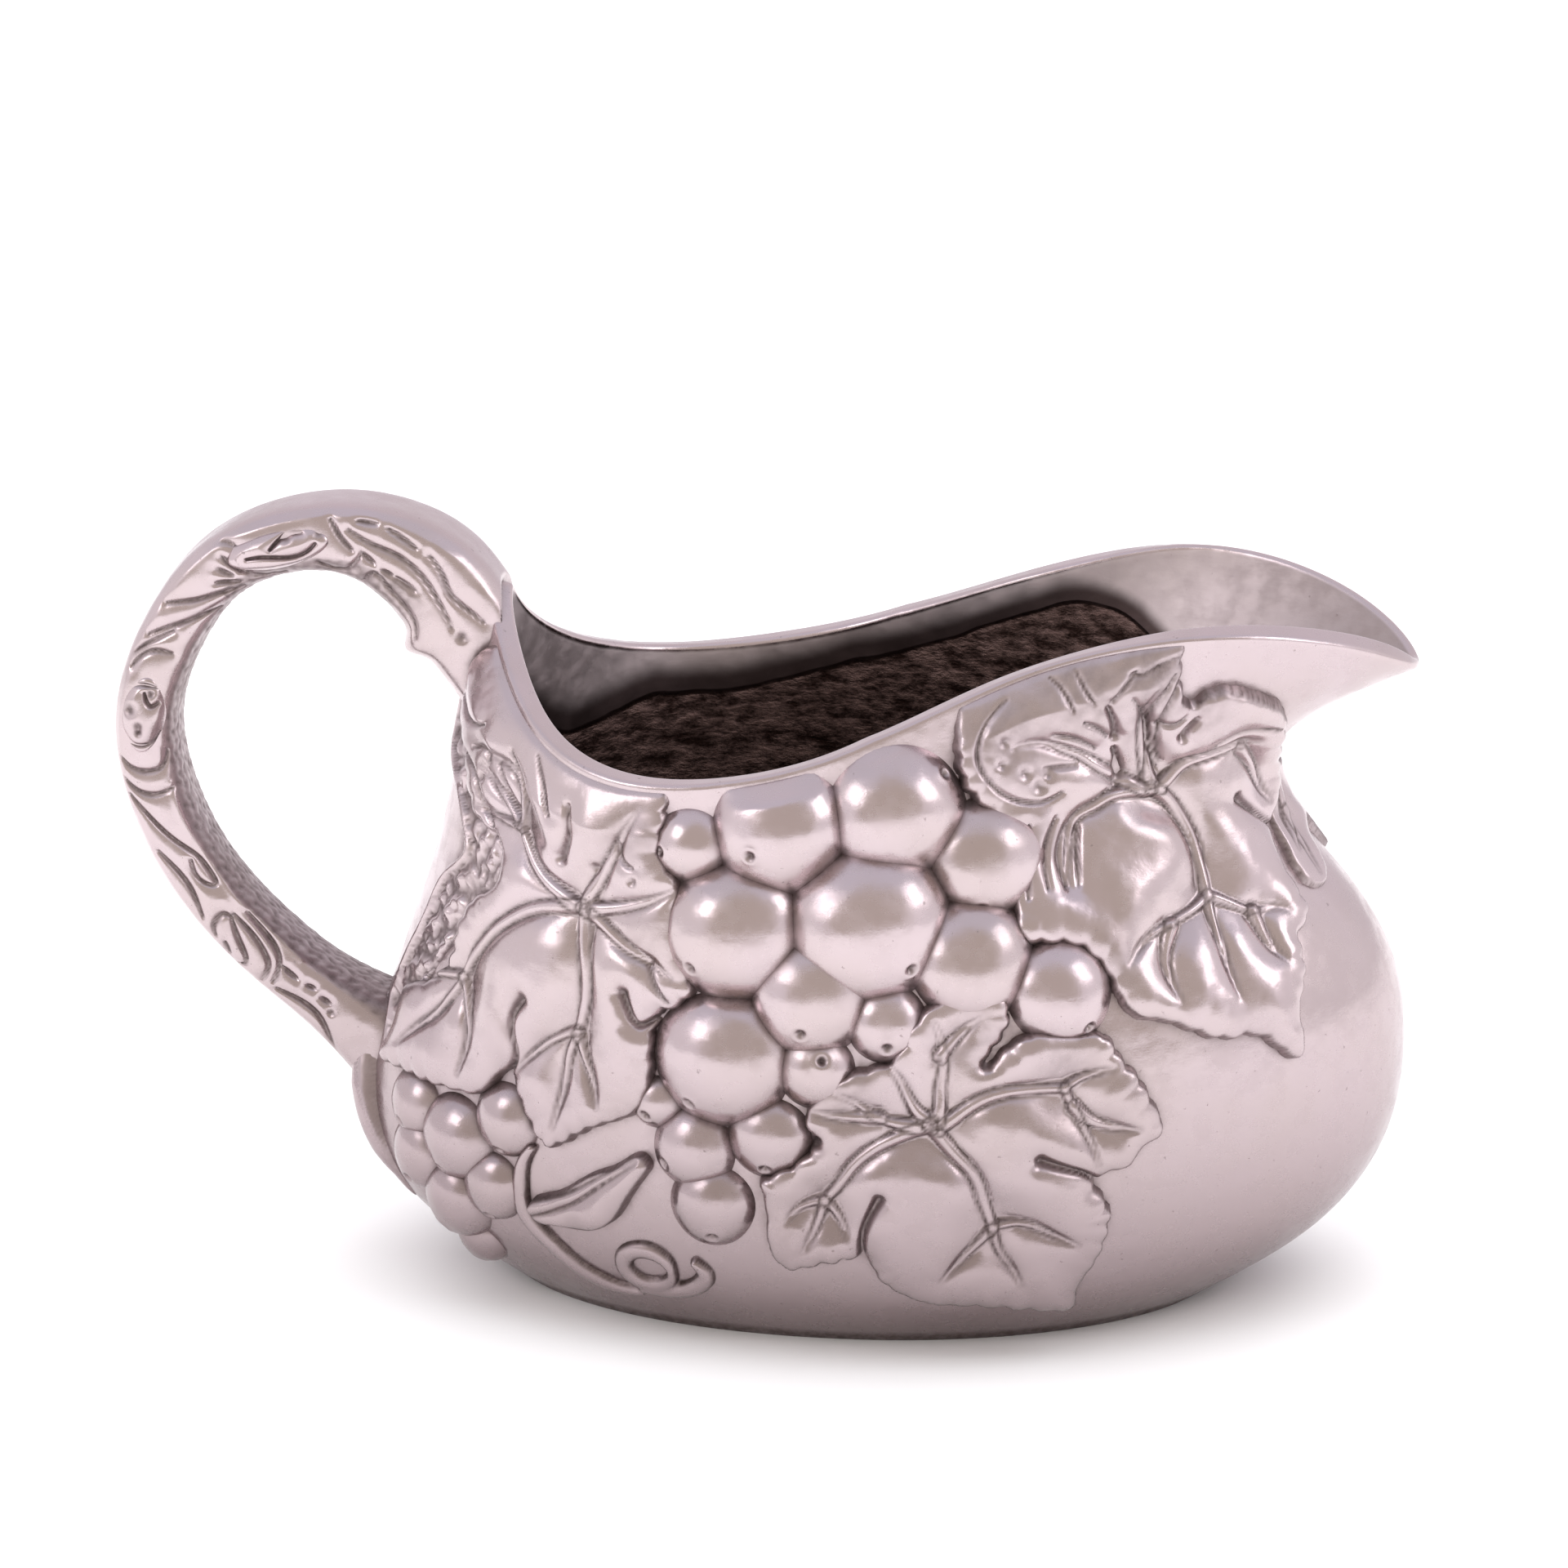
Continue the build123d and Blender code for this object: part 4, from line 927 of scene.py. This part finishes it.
def silver(name, with_inside):
    """Hand-polished cast metal: uneven gloss, fine scratches, pits, dark patina and painted crevice shade in
    recesses, and painted shade towards the foot.
    """
    material = bpy.data.materials.new(name)
    n = Nodes(material)
    place = n.add("ShaderNodeTexCoord").outputs["Object"]
    large = n.noise(place, 60.0, 3.0)
    medium = n.noise(place, 260.0, 4.0)
    fine = n.noise(place, 1500.0, 5.0, 0.7)
    grain = n.add("ShaderNodeMapping", Vector=place, Scale=(500.0, 500.0, 3600.0))
    scratches = n.noise(grain.outputs[0], 1.0, 3.0)
    # Painted shade: an occlusion test darkens the colour in crevices and between parts, and stands also for
    # the dark patina there.
    occlusion = n.add("ShaderNodeAmbientOcclusion", Distance=CREVICE_REACH)
    occlusion.samples = 8
    crevice = n.step(occlusion.outputs["AO"], 0.93, 0.33)
    grime = n.step(n.noise(place, 700.0, 6.0, 0.7), 0.25, 0.7)
    carved = n.times(n.attribute("patina_and_shade"), n.plus(n.times(grime, 0.5), 0.5))
    crevice_shade_and_patina = n.times(crevice, n.plus(n.times(grime, 0.42), 0.38))
    specks = n.times(n.step(n.noise(place, 900.0, 2.0), 0.70, 0.78), 0.35)
    # The carved patina, the painted crevice shade and the specks, as one mark.
    patina_and_shade = n.math("MAXIMUM", n.math("MAXIMUM", crevice_shade_and_patina, carved), specks, clamp=True)
    colour = n.mix(n.step(large, 0.35, 0.65), METAL, METAL_WARM)
    height = n.plus(n.times(large, 0.006), n.axis(place, "Z"))
    # Painted shade: the metal's colour darkens towards the foot.
    colour = n.mix(n.step(height, FOOT_SHADE_TOP, FOOT_SHADE_BOTTOM), colour, FOOT_SHADE_COLOUR)
    colour = n.mix(n.times(patina_and_shade, 0.9), colour, PATINA_AND_SHADE_COLOUR)
    rough = n.plus(n.times(n.step(medium, 0.35, 0.75), 0.14), n.times(scratches, 0.10))
    rough = n.plus(rough, SMOOTHEST)
    rough = n.plus(rough, n.times(patina_and_shade, 0.4), clamp=True)
    lumps = n.plus(n.times(large, 2.6), n.times(medium, 0.30))
    lumps = n.plus(lumps, n.times(fine, 0.03))
    lumps = n.plus(lumps, n.times(scratches, 0.02))
    if with_inside:
        colour, rough, lumps = dark_inside(n, place, colour, rough, lumps)
    bump = n.add("ShaderNodeBump", Height=lumps, Strength=1.0, Distance=BUMP_HEIGHT)
    shader = n.tree.nodes["Principled BSDF"]
    n.put(shader, "Base Color", colour)
    n.put(shader, "Roughness", rough)
    n.put(shader, "Normal", bump.outputs[0])
    n.put(shader, "Metallic", 1.0)
    return material

def dark_inside(n, place, colour, rough, lumps):
    """Inside, a polished band runs under the rim, lighter than the outer metal as painted light; below it a
    painted shade darkens the metal, and below a wavy line the metal is dark, as cast.

    The "inside" attribute is the distance below the rim, 0 outside. The band is wider at the
    handle, and the whole inside of the spout is polished, its colour darkened as painted shade.
    """
    depth = n.attribute("inside")
    within = n.step(depth, 0.0, 0.006)
    spout = n.step(n.axis(place, "X"), 0.042, 0.095)
    handle_end = n.step(n.axis(place, "X"), -0.020, -0.036)
    wave = n.plus(n.times(n.noise(place, 30.0, 3.0), 0.07), n.times(spout, 0.5))
    line = n.math("SUBTRACT", depth, n.plus(wave, n.times(handle_end, 0.08)))
    stretched = n.add("ShaderNodeMapping", Vector=place, Scale=(240.0, 240.0, 480.0))
    ripples = n.noise(stretched.outputs[0], 1.0, 6.0, 0.68)
    cast = n.step(line, 0.030, 0.040)
    cast_colour = n.mix(n.step(ripples, 0.36, 0.66), CAST_DARK, CAST_LIGHT)
    # Painted light: the polished band under the rim is lighter than the metal outside.
    colour = n.mix(n.math("SUBTRACT", within, spout, clamp=True), colour, INNER_BAND_PAINTED_LIGHT)
    # Painted shade: the inside of the spout is darkened.
    colour = n.mix(n.times(n.times(spout, within), 0.85), colour, INNER_SPOUT_SHADE)
    # Painted shade: the inside darkens downwards from the polished band towards the cast line.
    colour = n.mix(n.times(n.step(line, -0.03, 0.014), 0.93), colour, INNER_SHADE_COLOUR)
    colour = n.mix(cast, colour, cast_colour)
    rough = n.plus(rough, n.times(within, 0.3), clamp=True)
    lumps = n.plus(lumps, n.times(n.times(ripples, cast), 5.0))
    return colour, rough, lumps

def floor_material():
    material = bpy.data.materials.new("pale_floor")
    n = Nodes(material)
    place = n.add("ShaderNodeTexCoord").outputs["Object"]
    shader = n.tree.nodes["Principled BSDF"]
    n.put(shader, "Base Color", n.mix(n.noise(place, 3.0, 2.0), FLOOR_COOL, FLOOR_PLAIN))
    n.put(shader, "Roughness", 0.7)
    return material

# ---- The stage ----
def add_floor():
    size = 6.0
    corners = [(-size, -size, 0), (size, -size, 0), (size, size, 0), (-size, size, 0)]
    mesh = bpy.data.meshes.new("floor")
    mesh.from_pydata(corners, [], [(0, 1, 2, 3)])
    mesh.materials.append(floor_material())
    floor = bpy.data.objects.new("floor", mesh)
    bpy.context.scene.collection.objects.link(floor)

def add_light(name, place, target, size, power, colour, in_reflections):
    light = bpy.data.lights.new(name, "AREA")
    light.shape = "RECTANGLE"
    light.size, light.size_y = size
    light.energy = power
    light.color = colour
    lamp = bpy.data.objects.new(name, light)
    lamp.location = place
    lamp.visible_glossy = in_reflections
    lamp.rotation_euler = (Vector(target) - Vector(place)).to_track_quat("-Z", "Y").to_euler()
    bpy.context.scene.collection.objects.link(lamp)

TENT_SIDES = (1.09, 1.055, 1.09, 1)
TENT_TOP = (0.86, 0.86, 0.95, 1)
TENT_FRONT = (0.72, 0.66, 0.60, 1)
TENT_BACK = (0.92, 0.87, 0.92, 1)

def add_world():
    """A light tent: bright walls, a top and back a little less bright, a warm grey front."""
    world = bpy.data.worlds.new("studio")
    n = Nodes(world)
    direction = n.add("ShaderNodeTexCoord").outputs["Generated"]
    colour = n.mix(n.step(n.axis(direction, "Z"), 0.35, 0.8), TENT_SIDES, TENT_TOP)
    for towards, start, full, tint in (((0.09, -0.96, 0.26), 0.58, 0.80, TENT_FRONT),
                                       ((0, 0.92, 0.39), 0.45, 0.9, TENT_BACK)):
        cosine = n.tree.nodes.new("ShaderNodeVectorMath")
        cosine.operation = "DOT_PRODUCT"
        n.put(cosine, 0, direction)
        n.put(cosine, 1, towards)
        colour = n.mix(n.step(cosine.outputs["Value"], start, full), colour, tint)
    n.put(n.tree.nodes["Background"], "Color", colour)
    bpy.context.scene.world = world

CAMERA_AZIMUTH = math.radians(5)
CAMERA_ELEVATION = math.radians(18)
CAMERA_DISTANCE = 1.0
LENS = 146.25
LOOK_HEIGHT = 0.060        # the camera circles a point this high on the Z axis
AIM_RIGHT = 0.0023         # and aims a little beside and above it
AIM_UP = 0.0179

def add_camera():
    azimuth, elevation = CAMERA_AZIMUTH, CAMERA_ELEVATION
    right = Vector((math.cos(azimuth), math.sin(azimuth), 0))
    towards = Vector((math.sin(azimuth) * math.cos(elevation),
                      -math.cos(azimuth) * math.cos(elevation), math.sin(elevation)))
    up = towards.cross(right)
    look = Vector((0, 0, LOOK_HEIGHT))
    data = bpy.data.cameras.new("camera")
    data.lens = LENS
    data.sensor_width = 36
    camera = bpy.data.objects.new("camera", data)
    camera.location = look + towards * CAMERA_DISTANCE
    target = look + right * AIM_RIGHT + up * AIM_UP
    camera.rotation_euler = (target - camera.location).to_track_quat("-Z", "Y").to_euler()
    bpy.context.scene.collection.objects.link(camera)
    bpy.context.scene.camera = camera

# ---- The object ----
def build_object():
    body = silver("polished_body", True)
    grip = silver("polished_handle", False)
    relief = silver("polished_relief", False)
    build_vessel(body)
    add_piece("handle_loop", *build_handle(), grip, "handle", "handle_metal")
    both_sides("handle_bud", build_dome(BUD), grip, "handle_metal")
    both_sides("handle_knot", build_dome(KNOT), grip, "handle_metal")
    for name, shape in (("vine_root", build_root()), ("handle_leaf", build_leaf(HANDLE_LEAF)),
                        ("spout_leaf", build_leaf(SPOUT_LEAF)), ("base_leaf", build_leaf(BASE_LEAF)),
                        ("cane", build_leaf(CANE, 0.3, 0.05)), ("tendril", build_tendril()),
                        ("main_grapes", build_bunch(MAIN_GRAPES)),
                        ("small_grapes", build_bunch(SMALL_GRAPES))):
        both_sides(name, shape, relief, "relief_metal")
    throat_leaf = build_leaf(THROAT_LEAF, 0.35, 0.2)
    add_piece("throat_leaf_relief", *throat_leaf, relief, "throat_leaf", "relief_metal")

WHITE = (0.99, 1.0, 0.97)
SOFTBOX_WHITE = (1.0, 0.98, 1.0)
LIGHTS = [("overhead", (0.05, 0.25, 2.2), (0.02, 0.25, 0), (3.4, 3.4), 52, WHITE, False),
          ("floor_fill", (-0.4, -1.3, 0.8), (0, -0.1, 0), (1.0, 0.6), 4.0, WHITE, False),
          ("softbox_left", (-0.9, -0.7, 0.8), (0, 0, 0.06), (0.5, 0.5), 1.9, SOFTBOX_WHITE, True),
          ("softbox_right", (0.95, -0.3, 0.7), (0, 0, 0.06), (0.45, 0.6), 1.7, SOFTBOX_WHITE, True)]

build_object()
add_floor()
add_world()
for light in LIGHTS:
    add_light(*light)
add_camera()
bpy.context.scene.view_settings.view_transform = "Standard"
